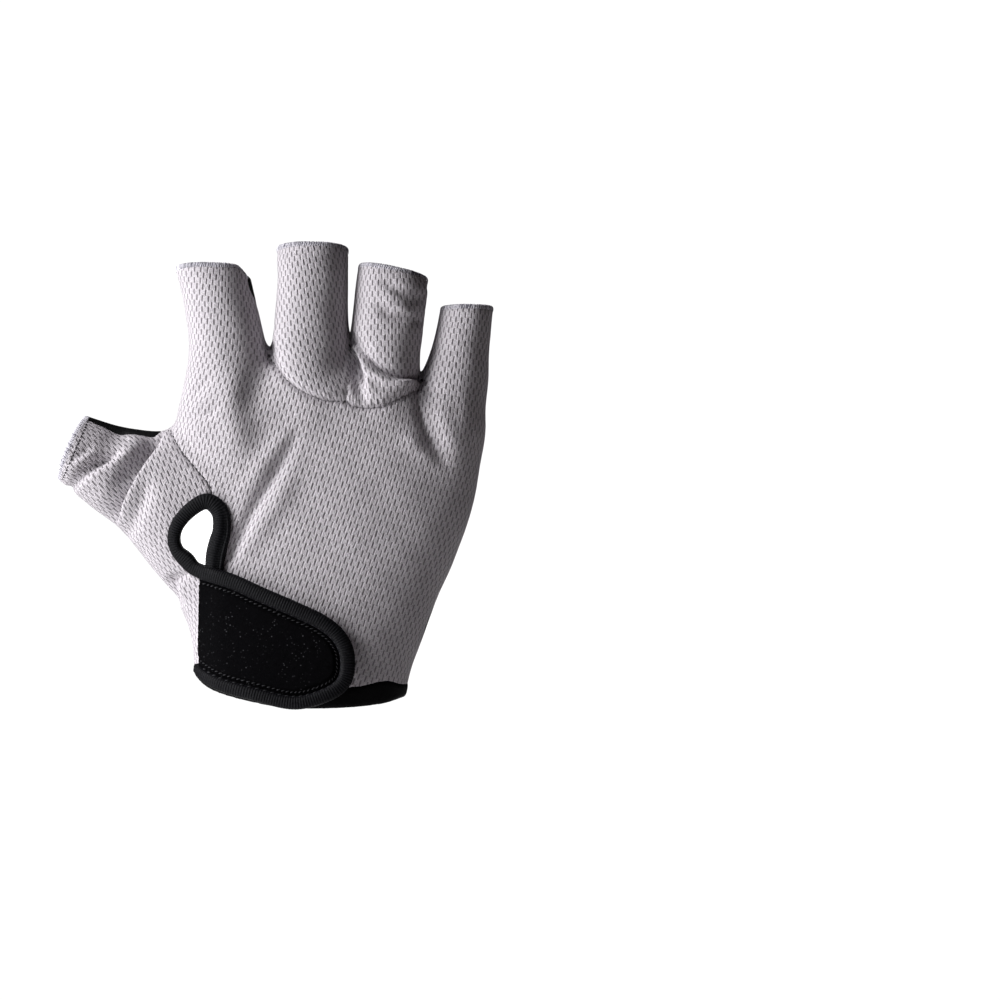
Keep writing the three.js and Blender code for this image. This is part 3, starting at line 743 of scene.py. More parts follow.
def fold_relief(places, folds):
    total = np.zeros(len(places))
    for fold in folds:
        off, along = line_distance(places, smooth_line(fold.line))
        shape = np.exp(-off / fold.width) if fold.sharp else bell(off, fold.width)
        taper = np.interp(along, FOLD_TAPER, [fold.ends[0], 1, 1, fold.ends[1]])
        beyond = np.where((along <= 0) | (along >= 1), bell(off, FOLD_FADE), 1)
        total += fold.height * shape * taper * beyond
    return total


WAVES = 9


def wobble(points, longest, shortest, seed):
    """A smooth random wave from about -1 to 1 over points in space."""
    generator = np.random.default_rng(seed)
    total = np.zeros(len(points))
    for _ in range(WAVES):
        way = unit(generator.normal(size=3))
        length = generator.uniform(shortest, longest)
        total += np.sin(points @ way * 2 * math.pi / length + generator.uniform(0, 2 * math.pi))
    return total / math.sqrt(WAVES)


# Where the seams end between the fingers. The dips are mostly gone within a reach of these points.
WEBS = [[-10, 112.6], [15.8, 113.6], [38.8, 102.4]]
WEB_SHARE = 0.85
WEB_REACH = 4.5
# The depth and the reach of the dip along each seam
SEAM_DIPS = {"knuckle": (0.9, 0.8), "fork": (0.35, 0.7), "thumb": (0.45, 0.7)}
# Puckers beside a seam: height, how many of them, how far off the seam, and their reach
PUCKERS = {"knuckle": (0.12, 31, 0.9, 1.1), "thumb": (0.08, 14, 0.8, 1.0)}
UNEVEN_SHARE = 0.6
UNEVEN_TURNS = 7.3
# How high the fingers' bases puff out over the knuckle seam, how fast they rise and how far they reach
PUFF = 1.5
PUFF_START = 1.6
PUFF_REACH = 13
# The fork seam holds the puff down, and further off on the ring finger's side.
FORK_SHARE = 0.9
FORK_REACH = 3.2
FORK_REACH_RING = 2.4
# How far past the fork seam the ring finger's side starts
RING_SIDE = (-0.3, 0.6)
RING_FOLDS_START = (-0.4, 0.8)


def pucker_wave(seam, off, along):
    height, turns, middle, reach = PUCKERS[seam]
    return height * np.sin(along * 2 * math.pi * turns) * bell(off - middle, reach)


def seam_relief(places):
    """Dips along the seams, small puckers beside them, and finger bases that puff out over them."""
    knuckle = polygon_distance(places, FINGER_PAIR_OUTLINE)
    off = np.abs(knuckle)
    _, along = line_distance(places, smooth_line(KNUCKLE_SEAM))
    fork, _ = line_distance(places, smooth_line(FORK_SEAM))
    thumb, along_thumb = line_distance(places, smooth_line(THUMB_SEAM))
    depth = {name: -height * bell(away, reach) for away, (name, (height, reach))
             in zip((off, fork, thumb), SEAM_DIPS.items())}
    dips = depth["knuckle"] + depth["fork"] * (knuckle < 1) + depth["thumb"]
    for web in WEBS:
        dips *= 1 - WEB_SHARE * bell(np.linalg.norm(places - web, axis=1), WEB_REACH)
    uneven = 1 + UNEVEN_SHARE * np.sin(along * 2 * math.pi * UNEVEN_TURNS)
    pucker = uneven * pucker_wave("knuckle", off, along) + pucker_wave("thumb", thumb, along_thumb)
    above = np.maximum(-knuckle, 0)
    puff = PUFF * (1 - np.exp(-(above / PUFF_START))) * bell(above, PUFF_REACH)
    ring_side = smoothstep(*RING_SIDE, polygon_distance(places, MIDDLE_OUTLINE))
    fork_pull = 1 - FORK_SHARE * bell(fork, FORK_REACH + FORK_REACH_RING * ring_side)
    return np.where(knuckle < 0, puff * fork_pull, 0) + pucker + dips


# How far below a finger's end its hem holds the cloth flat, and from where on folds have full height
HELD = (0.5, 6.0)
# How much a place faces the eye, or for the palm faces away from it, where the relief starts to show
# and where it has its full height
FACING = {"front": (0.02, 0.45), "side": (-0.5, 0.0), "palm": (0.0, 0.6)}
SIDE_SEAM_DIP = 0.5
# Slow waves of the palm and of all pieces: height, longest, shortest, seed
PALM_WAVES = (0.55, 34, 16, 3)
CALM_WAVES = (0.10, 26, 10, SEED)


def relief(points, normals):
    """How far the worn cloth stands out from the plain form at each point. The hems hold it flat."""
    places = seen_plane(points)
    to_eye = -normals[:, 1]
    facing = smoothstep(*FACING["front"], to_eye)
    knuckle = polygon_distance(places, FINGER_PAIR_OUTLINE)
    ring_side = smoothstep(*RING_FOLDS_START, polygon_distance(places, MIDDLE_OUTLINE))
    front = (fold_relief(places, FOLDS) + seam_relief(places)) * facing
    front += np.where(knuckle < 0, fold_relief(places, RING_FOLDS) * ring_side * facing, 0)
    front += fold_relief(places, SIDE_FOLDS) * smoothstep(*FACING["side"], to_eye)
    side = -SIDE_SEAM_DIP * bell(side_field(points), 1.0)
    palm, calm = (wave[0] * wobble(points, *wave[1:]) for wave in (PALM_WAVES, CALM_WAVES))
    held = smoothstep(*HELD, -past_ends(points, 0))
    return (front + palm * smoothstep(*FACING["palm"], -to_eye) + side) * held + calm


# Grain: where the rows and columns of the weave run

# How far the columns lean from upright towards the little finger, in degrees: x, z, lean
BACK_LEANS = [
    [10, 60, 22], [35, 40, 21], [30, 12, 16], [-15, 95, 12], [-27, 122, 6], [-20, 78, 14],
    [51, 112, 6], [50, 88, 13], [5, 30, 20], [-15, 45, 19],
]
LEANS = {
    "back_panel": BACK_LEANS,
    "middle_back": [[3, 100, -13]],
    "ring_back": [[28, 110, -3]],
    "thumb_base_panel": [[-40, 60, -24], [-42, 30, -30]],
    "thumb_back": [[-62, 74, -34]],
}
SOLVER_ROUNDS = 320
LEAN_REACH = 4
LEAN_POWER = 3
# Where the cloth turns away from upright, its grain still counts for this much.
LEAST_WEIGHT = 0.05


def lean_at(places, table):
    rows = np.array(table, float)
    off = np.linalg.norm(places[:, None] - rows[None, :, :2], axis=2)
    weight = 1 / (off + LEAN_REACH) ** LEAN_POWER
    return np.radians((weight * rows[:, 2]).sum(axis=1) / weight.sum(axis=1))


def solved(edges, weight, difference, start):
    """Values whose differences along the edges come closest to those asked for."""
    size = len(start)
    a, b = edges.T

    def spread(flow):
        return np.bincount(b, flow, size) - np.bincount(a, flow, size)

    diagonal = np.bincount(a, weight, size) + np.bincount(b, weight, size) + TINY
    values = start.copy()
    left = spread(weight * (difference - (values[b] - values[a])))
    eased = left / diagonal
    way = eased.copy()
    score = left @ eased
    for _ in range(SOLVER_ROUNDS):
        pull = spread(weight * (way[b] - way[a]))
        step = score / max(way @ pull, TINY)
        values += step * way
        left -= step * pull
        eased = left / diagonal
        new_score = left @ eased
        way = eased + way * new_score / max(score, TINY)
        score = new_score
    return values


def grain(points, triangles, table):
    """Cell numbers across and along the weave for each point of a panel."""
    normals = normals_of(points, triangles)
    angle = lean_at(points[:, [0, 2]], table)
    upright = np.column_stack([np.sin(angle), np.zeros(len(points)), np.cos(angle)])
    along = upright - normals * np.einsum("ij,ij->i", upright, normals)[:, None]
    sure = np.linalg.norm(along, axis=1)
    along = unit(along)
    across = np.cross(along, normals)
    edges = edges_of(triangles)
    a, b = edges.T
    run = points[b] - points[a]
    weight = np.clip(sure[a] * sure[b], LEAST_WEIGHT, 1)
    mean = angle.mean()
    straight = [points[:, 0] * math.cos(mean) - points[:, 2] * math.sin(mean),
                points[:, 0] * math.sin(mean) + points[:, 2] * math.cos(mean)]
    cells = []
    for way, size, start in ((across, WEAVE_COLUMN, straight[0]), (along, WEAVE_ROW, straight[1])):
        difference = np.einsum("ij,ij->i", (way[a] + way[b]) / 2, run) / size
        cells.append(solved(edges, weight, difference, start / size))
    return np.column_stack(cells)


# Meshes and objects


def add_piece(name, body, materials, replaced=None, uv=None):
    """An object made of a body's points, triangles and material numbers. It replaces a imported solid."""
    points, triangles, kinds = body
    mesh = bpy.data.meshes.new(name)
    mesh.vertices.add(len(points))
    mesh.vertices.foreach_set("co", (points * MM).astype(np.float32).ravel())
    mesh.loops.add(len(triangles) * 3)
    mesh.loops.foreach_set("vertex_index", triangles.astype(np.int32).ravel())
    mesh.polygons.add(len(triangles))
    mesh.polygons.foreach_set("loop_start", np.arange(0, len(triangles) * 3, 3, dtype=np.int32))
    mesh.update(calc_edges=True)
    mesh.polygons.foreach_set("use_smooth", np.ones(len(triangles), bool))
    for material in materials:
        mesh.materials.append(material)
    mesh.polygons.foreach_set("material_index", kinds.astype(np.int32))
    if uv is not None:
        layer = mesh.uv_layers.new(name="weave")
        layer.data.foreach_set("uv", uv[triangles].astype(np.float32).ravel())
    mesh.update()
    made = bpy.data.objects.new(name, mesh)
    bpy.context.scene.collection.objects.link(made)
    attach(made, "root")
    if replaced:
        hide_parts(replaced)


def walled(points, triangles, inward, depth):
    """A closed wall behind a skin. Kinds: 0 skin and edge, 1 inner side."""
    count = len(points)
    a, b = border_edges(triangles).T
    edge = np.vstack([np.column_stack([b, a, a + count]), np.column_stack([b, a + count, b + count])])
    faces = np.vstack([triangles, triangles[:, ::-1] + count, edge])
    kinds = np.repeat([0, 1, 0], [len(triangles), len(triangles), len(edge)])
    return np.vstack([points, points + inward * depth]), faces, kinds


def border_distance(points, triangles):
    """Distance from each point to the nearest border point of a panel."""
    border = points[on_border(points, triangles)]
    tree = KDTree(len(border))
    for number, place in enumerate(border):
        tree.insert(place, number)
    tree.balance()
    return np.array([tree.find(place)[2] for place in points])


# Materials

class Graph:
    """A material whose nodes are added with short calls."""

    def __init__(self, name):
        self.material = bpy.data.materials.new(name)
        self.material.use_nodes = True
        self.tree = self.material.node_tree
        self.shader = self.tree.nodes["Principled BSDF"]

    def put(self, socket, value):
        if isinstance(value, bpy.types.NodeSocket):
            self.tree.links.new(value, socket)
        elif isinstance(value, tuple) and len(value) == 3 and socket.type == "RGBA":
            socket.default_value = (*value, 1)
        else:
            socket.default_value = value

    def add(self, kind, inputs=None, **settings):
        node = self.tree.nodes.new(kind)
        for key, value in settings.items():
            setattr(node, key, value)
        for key, value in (inputs or {}).items():
            self.put(node.inputs[key], value)
        return node

    def math(self, operation, *values):
        node = self.add("ShaderNodeMath", operation=operation)
        for socket, value in zip(node.inputs, values):
            self.put(socket, value)
        return node.outputs[0]

    def plus(self, a, b):
        return self.math("ADD", a, b)

    def minus(self, a, b):
        return self.math("SUBTRACT", a, b)

    def times(self, a, b):
        return self.math("MULTIPLY", a, b)

    def wave(self, value, rate, height):
        return self.times(self.math("SINE", self.times(value, rate)), height)

    def step(self, value, start, result=(0.0, 1.0)):
        """A soft step over a range of the value, from one result to another."""
        node = self.add("ShaderNodeMapRange", interpolation_type="SMOOTHSTEP", inputs={
            "Value": value, "From Min": start[0], "From Max": start[1],
            "To Min": result[0], "To Max": result[1]})
        return node.outputs["Result"]

    def mix(self, share, a, b):
        node = self.add("ShaderNodeMix", data_type="RGBA")
        self.put(node.inputs[0], share)
        self.put(node.inputs[6], a)
        self.put(node.inputs[7], b)
        return node.outputs[2]

    def shaded(self, color, shade):
        """A colour made darker or lighter."""
        node = self.add("ShaderNodeVectorMath", {0: color, "Scale": shade}, operation="SCALE")
        return node.outputs[0]

    def noise(self, vector, scale, detail=2.0, roughness=0.5):
        node = self.add("ShaderNodeTexNoise", {"Vector": vector, "Scale": scale, "Detail": detail,
                                               "Roughness": roughness})
        return node.outputs["Fac"]

    def bump(self, height, distance, strength=1.0, below=None):
        node = self.add("ShaderNodeBump", {"Height": height, "Distance": distance, "Strength": strength})
        if below is not None:
            self.put(node.inputs["Normal"], below)
        return node.outputs["Normal"]

    def place(self):
        return self.add("ShaderNodeTexCoord").outputs["Object"]

    def weave(self):
        """The UV map's cell numbers across and along, as X and Y."""
        cells = self.add("ShaderNodeUVMap", uv_map="weave").outputs["UV"]
        return self.add("ShaderNodeSeparateXYZ", {"Vector": cells}).outputs

    def finish(self, **inputs):
        for key, value in inputs.items():
            self.put(self.shader.inputs[key.replace("_", " ")], value)
        return self.material


# Half the length of a slit of the mesh fabric, in millimetres
HALF_SLIT = 0.84
# How far the cloth's sway moves the slits, in cells
SWAY_ACROSS = 0.22
SWAY_ALONG = 0.12
# Between these heights, in metres, the fingers' cloth starts to be stretched. Its slits are shorter
# and wider there.
STRETCH_Z = (0.085, 0.112)
STRETCH_SHORTER = 0.16
STRETCH_WIDER = 0.03
# The yarns' waves: how many radians a cell takes along and across, and their height in the bump
KNIT_RATE = 62.8
YARN_RATE = 31.4
YARN_HEIGHT = 0.10
SPECKLE_HEIGHT = 0.8


def mesh_fabric(name, color, slit_color_with_painted_shade):
    """Knitted mesh with staggered slits between its columns."""
    graph = Graph(name)
    place = graph.place()
    weave = graph.weave()
    sway = graph.minus(graph.noise(place, scale=260.0), 0.5)
    across = graph.plus(weave["X"], graph.times(sway, SWAY_ACROSS))
    along = graph.plus(weave["Y"], graph.times(sway, SWAY_ALONG))
    upwards = graph.add("ShaderNodeSeparateXYZ", {"Vector": place}).outputs["Z"]
    stretch = graph.step(upwards, STRETCH_Z)
    half_slit = graph.minus(HALF_SLIT, graph.times(stretch, STRETCH_SHORTER))
    nearest = None
    # One row of slits stands in the middles of the cells and one at their corners.
    for shift in (0.5, 0.0):
        offset = []
        for value, cell in ((across, WEAVE_COLUMN), (along, WEAVE_ROW)):
            centred = graph.minus(graph.math("FRACT", graph.plus(value, shift)), 0.5)
            offset.append(graph.math("ABSOLUTE", graph.times(centred, cell)))
        past = graph.math("MAXIMUM", graph.minus(offset[1], half_slit), 0.0)
        square = graph.plus(graph.times(offset[0], offset[0]), graph.times(past, past))
        off = graph.math("SQRT", square)
        nearest = off if nearest is None else graph.math("MINIMUM", nearest, off)
    nearest = graph.minus(nearest, graph.times(stretch, STRETCH_WIDER))
    speckle = graph.noise(place, scale=2600.0, detail=3.0, roughness=0.7)
    cloud = graph.noise(place, scale=70.0)
    # The slits take a darker colour: partly the dark inside seen through them, partly painted shade in
    # them.
    slit = graph.step(nearest, (0.10, 0.29), (1.0, 0.0))
    slit = graph.times(slit, graph.step(speckle, (0.3, 0.55), (0.62, 1.0)))
    shade = graph.step(speckle, (0.28, 0.72), (0.68, 1.19))
    shade = graph.times(shade, graph.step(cloud, (0.3, 0.7), (0.97, 1.03)))
    mixed = graph.mix(slit, graph.shaded(color, shade), slit_color_with_painted_shade)
    knit = graph.wave(along, KNIT_RATE, YARN_HEIGHT)
    yarn = graph.wave(across, YARN_RATE, YARN_HEIGHT)
    height = graph.plus(graph.step(nearest, (0.04, 0.38)), graph.plus(knit, yarn))
    height = graph.plus(height, graph.times(speckle, SPECKLE_HEIGHT))
    return graph.finish(Base_Color=mixed, Roughness=0.85, Specular_IOR_Level=0.2,
                        Normal=graph.bump(height, distance=0.00027))


KEYHOLE_MIDDLE = (-0.033, 0.008, 0.051)
KEYHOLE_PAINTED_GLOW = 0.95
# The painted glow beside the keyhole fades out between these distances from its middle, in metres.
PAINTED_GLOW_REACH = (0.020, 0.042)


def knit_backing_painted_glow(name, color):
    """The pale inner side of the cloth and of the palm, with a painted glow near the keyhole that stands in
    for light falling in through it.
    """
    graph = Graph(name)
    place = graph.place()
    fine = graph.noise(place, scale=1800.0, detail=3.0)
    base = graph.shaded(color, graph.step(fine, (0.3, 0.7), (0.85, 1.05)))
    # Painted glow: white emission that fades with the distance from the keyhole's middle.
    away = graph.add("ShaderNodeVectorMath", {0: place, 1: KEYHOLE_MIDDLE}, operation="SUBTRACT")
    reach = graph.add("ShaderNodeVectorMath", {0: away.outputs[0]}, operation="LENGTH")
    painted_glow = graph.step(reach.outputs["Value"], PAINTED_GLOW_REACH, (KEYHOLE_PAINTED_GLOW, 0.0))
    return graph.finish(Base_Color=base, Roughness=0.9, Emission_Color=WHITE, Emission_Strength=painted_glow,
                        Normal=graph.bump(fine, distance=0.0002))


def leather(name, color):
    """Fine-grained leather, a little lighter in patches."""
    graph = Graph(name)
    place = graph.place()
    cells = graph.add("ShaderNodeTexVoronoi", {"Vector": place, "Scale": 900.0}).outputs["Distance"]
    pores = graph.noise(place, scale=1500.0, detail=3.0)
    height = graph.plus(graph.times(cells, 0.7), graph.times(pores, 0.5))
    patches = graph.step(graph.noise(place, scale=60.0), (0.35, 0.65))
    tone = graph.mix(patches, color, tuple(part * 1.5 for part in color))
    rough = graph.step(pores, (0.3, 0.7), (0.5, 0.68))
    return graph.finish(Base_Color=tone, Roughness=rough, Specular_IOR_Level=0.12,
                        Normal=graph.bump(height, distance=0.00022))


def tape_weave(name, color, painted_crest_highlight=None):
    """Black elastic tape. The UV map numbers its ribs, whose crests get a painted highlight."""
    graph = Graph(name)
    fine = graph.noise(graph.place(), scale=2400.0, detail=3.0, roughness=0.65)
    tone = graph.mix(graph.step(fine, (0.4, 0.7)), color, tuple(part * 2.0 for part in color))
    if painted_crest_highlight:
        # Painted highlight: the rib crests are lighter, broken up by noise, standing in for light that
        # catches them.
        off = graph.math("ABSOLUTE", graph.minus(graph.math("FRACT", graph.weave()["X"]), 0.5))
        crest = graph.times(graph.step(off, (0.25, 0.45)), graph.step(fine, (0.3, 0.6)))
        tone = graph.mix(crest, tone, painted_crest_highlight)
    return graph.finish(Base_Color=tone, Roughness=0.5, Specular_IOR_Level=0.08,
                        Normal=graph.bump(fine, distance=0.00018))


def pile(name, color, fleck_color):
    """Brushed pile with a few grey flecks of lint."""
    graph = Graph(name)
    place = graph.place()
    fibre = graph.noise(place, scale=3000.0, detail=4.0, roughness=0.75)
    cells = graph.add("ShaderNodeTexVoronoi", {"Vector": place, "Scale": 1150.0}).outputs
    tone = graph.add("ShaderNodeTexWhiteNoise", {"Vector": cells["Position"]}).outputs["Value"]
    patches = graph.step(graph.noise(place, scale=140.0), (0.35, 0.62))
    fleck = graph.times(graph.step(cells["Distance"], (0.10, 0.32), (1.0, 0.0)),
                        graph.step(tone, (0.45, 0.98)))
    mixed = graph.mix(graph.times(fleck, patches), color, fleck_color)
    return graph.finish(Base_Color=mixed, Roughness=0.95, Specular_IOR_Level=0.05,
                        Normal=graph.bump(fibre, distance=0.0005))


def thread(name, color):
    graph = Graph(name)
    fine = graph.noise(graph.place(), scale=3500.0)
    base = graph.shaded(color, graph.step(fine, (0.3, 0.7), (0.75, 1.15)))
    return graph.finish(Base_Color=base, Roughness=0.7, Normal=graph.bump(fine, distance=0.0001))


WHITE = (1, 1, 1)
GREY = (0.60, 0.565, 0.605)
# The last colour is the slits': the dark seen through them, darkened further as painted shade.
FABRIC = mesh_fabric("mesh_fabric", GREY, (0.24, 0.22, 0.24))
# Its emission is a painted glow near the keyhole, standing in for light falling in through it.
BACKING = knit_backing_painted_glow("knit_backing_painted_glow", (0.78, 0.77, 0.78))
LEATHER_MATERIAL = leather("palm_leather", (0.004, 0.004, 0.0045))
TAPE = tape_weave("hem_tape", (0.0012, 0.0012, 0.0015))
# Its third colour is the painted highlight on the rib crests.
RIBBED_TAPE = tape_weave("ribbed_tape", (0.0022, 0.0022, 0.003), (0.013, 0.013, 0.016))
PILE = pile("strap_pile", (0.0012, 0.0011, 0.0017), (0.075, 0.075, 0.082))
LIGHT_THREAD = thread("light_thread", (0.70, 0.68, 0.74))
DARK_THREAD = thread("dark_thread", (0.20, 0.19, 0.24))
# The hems' rolled edge is grey thread darker than the loops: its own colour, darkened further as painted
# shade where it shows in the gaps between the loops.
SHADED_EDGE_THREAD = thread("edge_thread_painted_shade", (0.40, 0.38, 0.43))
SEAM_THREAD = thread("seam_thread", (0.025, 0.022, 0.028))
BLACK_THREAD = thread("black_thread", (0.018, 0.018, 0.022))


# The skin of the glove, cut and folded

FORM_ROUNDS = 8
base_points, base_triangles = filled_form()
base_points = relaxed(base_points, base_triangles, FORM_ROUNDS)
base_points, base_triangles, labels = cut_pieces(base_points, base_triangles)
base_normals = normals_of(base_points, base_triangles)
skin_points = base_points + base_normals * relief(base_points, base_normals)[:, None]
skin = BVHTree.FromPolygons(skin_points.tolist(), base_triangles.tolist())

# The thumb's tube comes out from under the folded edge of the base panel: how far it lies below the
# edge, how much further down its hollow beside the edge goes, and how far both run on
FOLD_STEP = 2.4
FOLD_HOLLOW = 3.4
FOLD_RUN = 5.0
# The folded edge is raised, and rounded off at its very end: height, reach.
FOLD_RISE = (0.3, 2.2)
FOLD_ROUND = (0.25, 0.4)
# How much a place faces the back of the hand where the fold starts to show, and where it is whole
FOLD_FACING = (0.1, 0.8)
ROLL_FACING = (0.1, 0.7)
# Smoothing rounds of a refined panel
REFINED_ROUNDS = 2


def panel_of(name, refinements=0):
    """A panel's points, triangles and inward directions, with its folds."""
    regions = [name, "tuck"] if name in ("thumb_back", "thumb_base_panel") else [name]
    chosen = base_triangles[np.isin(labels, [REGIONS.index(region) for region in regions])]
    points, triangles, normals = piece_of(base_points, chosen, base_normals)
    for _ in range(refinements):
        points, triangles, normals = subdivided(points, triangles, normals)
        points = relaxed(points, triangles, REFINED_ROUNDS, fixed=on_border(points, triangles))
    normals = unit(normals)
    lift = relief(points, normals)
    to_fold = to_tube(points)
    facing = smoothstep(*FOLD_FACING, -normals[:, 1])
    if name in ("thumb_back", "thumb_palm"):
        below = np.minimum(to_fold, 0) / FOLD_RUN
        lift -= (FOLD_STEP * np.exp(below) + FOLD_HOLLOW * np.exp(-(below ** 2))) * facing
    if name == "thumb_base_panel":
        rounding = FOLD_ROUND[0] * np.exp(-to_fold / FOLD_ROUND[1])
        lift += (FOLD_RISE[0] * bell(to_fold, FOLD_RISE[1]) - rounding) * facing
    return points + normals * lift[:, None], triangles, -normals


# The cloth turned under at the fold: height, reach
FOLD_ROLL = (4.0, 1.2)


def add_cloth(name, refinements):
    points, triangles, inward = panel_of(name, refinements)
    cells = grain(points, triangles, LEANS[name])
    depth = np.full((len(points), 1), CLOTH)
    if name == "thumb_base_panel":
        rolled = FOLD_ROLL[0] * bell(to_tube(points), FOLD_ROLL[1]) * smoothstep(*ROLL_FACING, inward[:, 1])
        depth += rolled[:, None]
    # The weave runs on over the cloth's edge.
    cells = np.vstack([cells, cells - depth * [1 / WEAVE_COLUMN, 0]])
    body = walled(points, triangles, inward, depth)
    add_piece(f"{name}_cloth", body, (FABRIC, BACKING), name, cells)


def add_leather(name):
    body = walled(*panel_of(name), LEATHER)
    add_piece(f"{name}_leather", body, (LEATHER_MATERIAL, BACKING), name)


CUFF_SWELL = 0.5
CUFF_ROUND = 0.5
CUFF_SUNK = 0.15
CUFF_THICK = 1.8


def add_cuff():
    """The cuff's hem, which swells from its edges."""
    points, triangles, inward = panel_of("cuff_hem", 1)
    swell = CUFF_SWELL * (1 - np.exp(-border_distance(points, triangles) / CUFF_ROUND)) - CUFF_SUNK
    body = walled(points - inward * swell[:, None], triangles, inward, CUFF_THICK)
    add_piece("cuff_hem_tape", body, (TAPE, TAPE), "cuff_hem")


# Trim that is laid on the skin

def seen_on_skin(x, z):
    """The point of the skin that the eye sees at a place of the plane Y = 0, and its normal."""
    way = Vector((x - EYE[0], -EYE[1], z - EYE[2])).normalized()
    point, normal, _, _ = skin.ray_cast(Vector(EYE), way)
    if point is None:
        point, normal, _, _ = skin.find_nearest(Vector((x, 0, z)))
    return np.array(point), np.array(normal)


def averaged(rows, reach, closed=False):
    """Each row replaced by the mean of its neighbours within a reach."""
    if reach < 1:
        return rows
    mode = "wrap" if closed else "edge"
    padded = np.pad(rows, ((reach, reach), (0, 0)), mode=mode)
    total = np.cumsum(np.vstack([np.zeros(rows.shape[1]), padded]), axis=0)
    window = 2 * reach + 1
    return (total[window:] - total[:-window]) / window


PATH_SMOOTHING = 1.2
NORMAL_SMOOTHING = 2.5


def laid(path, spacing):
    """A path on the skin: points, normals, sides and any further columns."""
    line = smooth_line(path, spacing)
    hits = [seen_on_skin(x, z) for x, z in line[:, :2]]
    points = averaged(np.array([hit[0] for hit in hits]), int(PATH_SMOOTHING / spacing))
    normals = unit(averaged(np.array([hit[1] for hit in hits]), int(NORMAL_SMOOTHING / spacing)))
    even = evenly(np.column_stack([points, normals, line[:, 2:]]), spacing)
    points, normals = even[:, :3], unit(even[:, 3:6])
    ways = unit(np.gradient(points, axis=0))
    return points, normals, unit(np.cross(normals, ways)), even[:, 6:]


RIB = 0.8
TAPE_SPACING = RIB / 6
TAPE_AROUND = 22
TAPE_POWER = 2.5
# How much a rib's crest adds to the tape's width and height, as shares of them
CREST_WIDTH = 0.01
CREST_HEIGHT = 0.045
GROOVE_WIDTH = 0.13


def tape_rings(points, normals, sides, width, height, lift, groove=None):
    """Sections of a ribbed tape folded over an edge. groove: where its stitching pulls it in."""
    across, rise = oval(TAPE_AROUND, TAPE_POWER)
    rise = np.broadcast_to(rise, (len(points), TAPE_AROUND))
    crest = np.cos(np.arange(len(points)) * TAPE_SPACING * 2 * math.pi / RIB)[:, None]
    if groove:
        place, depth = groove
        pulled = bell(across - place, GROOVE_WIDTH)
        rise = np.where(rise > 0, rise * (1 - depth[:, None] * pulled), rise)
    a = (1 + CREST_WIDTH * crest) * across * (width / 2)[:, None]
    b = (1 + CREST_HEIGHT * crest) * rise * (height / 2)[:, None] + lift[:, None]
    return points[:, None] + a[..., None] * sides[:, None] + b[..., None] * normals[:, None]


def rib_numbers(rings):
    """The rib that each point of a tape is on, and the same for the middles of its two ends."""
    count, around = rings.shape[:2]
    numbers = np.arange(count) * TAPE_SPACING / RIB
    return np.concatenate([np.repeat(numbers, around), numbers[[0, -1]]])


# A stitch is thinner at its ends: share of the way, share of its radius
STITCH_SWELLS = ((0, 0.25), (0.12, 0.8), (0.5, 1.0), (0.88, 0.8), (1, 0.25))
STITCH_AROUND = 6
# How far a stitch's ends sink in, in radii
STITCH_SINK = 1.4


def stitches(points, normals, sides, offset, lift, length, gap, radius, twist=0.0):
    """Short thread capsules in a row beside a path."""
    spacing = np.linalg.norm(np.diff(points, axis=0), axis=1).mean()
    line = points + sides * offset + normals * np.reshape(lift, (-1, 1))
    step = max(int(round((length + gap) / spacing)), 2)
    size = max(int(round(length / spacing)), 1)
    bodies = []
    angle = np.arange(STITCH_AROUND) * 2 * math.pi / STITCH_AROUND
    for start in range(0, len(line) - size, step):
        a, b = line[start], line[start + size]
        normal = normals[start]
        across = unit(np.cross(normal, unit(b - a)))
        section = np.cos(angle)[:, None] * across + np.sin(angle)[:, None] * normal
        rings = []
        for t, swell in STITCH_SWELLS:
            sink = normal * radius * STITCH_SINK * (2 * t - 1) ** 2
            centre = a + (b - a) * t + across * twist * (t - 0.5) - sink
            rings.append(centre + radius * swell * section)
        bodies.append(tube(np.array(rings)))
    return bodies


def add_tape(name, rings, sewn):
    """A bound edge: the ribbed tape and its black stitches."""
    points, triangles, kinds = joined([(*tube(rings), 0)] + [(*body, 1) for body in sewn])
    ribs = rib_numbers(rings)
    uv = np.zeros((len(points), 2))
    uv[:len(ribs), 0] = ribs
    add_piece(f"{name}_thread", (points, triangles, kinds), (RIBBED_TAPE, BLACK_THREAD),
              name, uv)


# The keyhole's binding is flat where it runs under the strap and at its end. These are its height and
# its lift where it is flat, and what is added where it shows and at its end.
UNDER_STRAP_Z = (35.0, 41.0)
BINDING_END = (0.90, 0.99)
BINDING_HEIGHT = (1.3, 2.2, -1.2)
BINDING_LIFT = (-0.55, 0.75, 0.2)
# The leg up the slit has a sewn groove, which ends in this part of the binding's way. It is sewn up to
# a share of the way. The groove's place across the tape, and its depth
LEG_END = (0.52, 0.66)
LEG_SEWN = 0.62
LEG_GROOVE = (-0.46, 0.75)
# Offset, lift, length, gap and radius of its stitches
LEG_STITCHES = (-1.3, 0.95, 1.5, 0.35, 0.17)


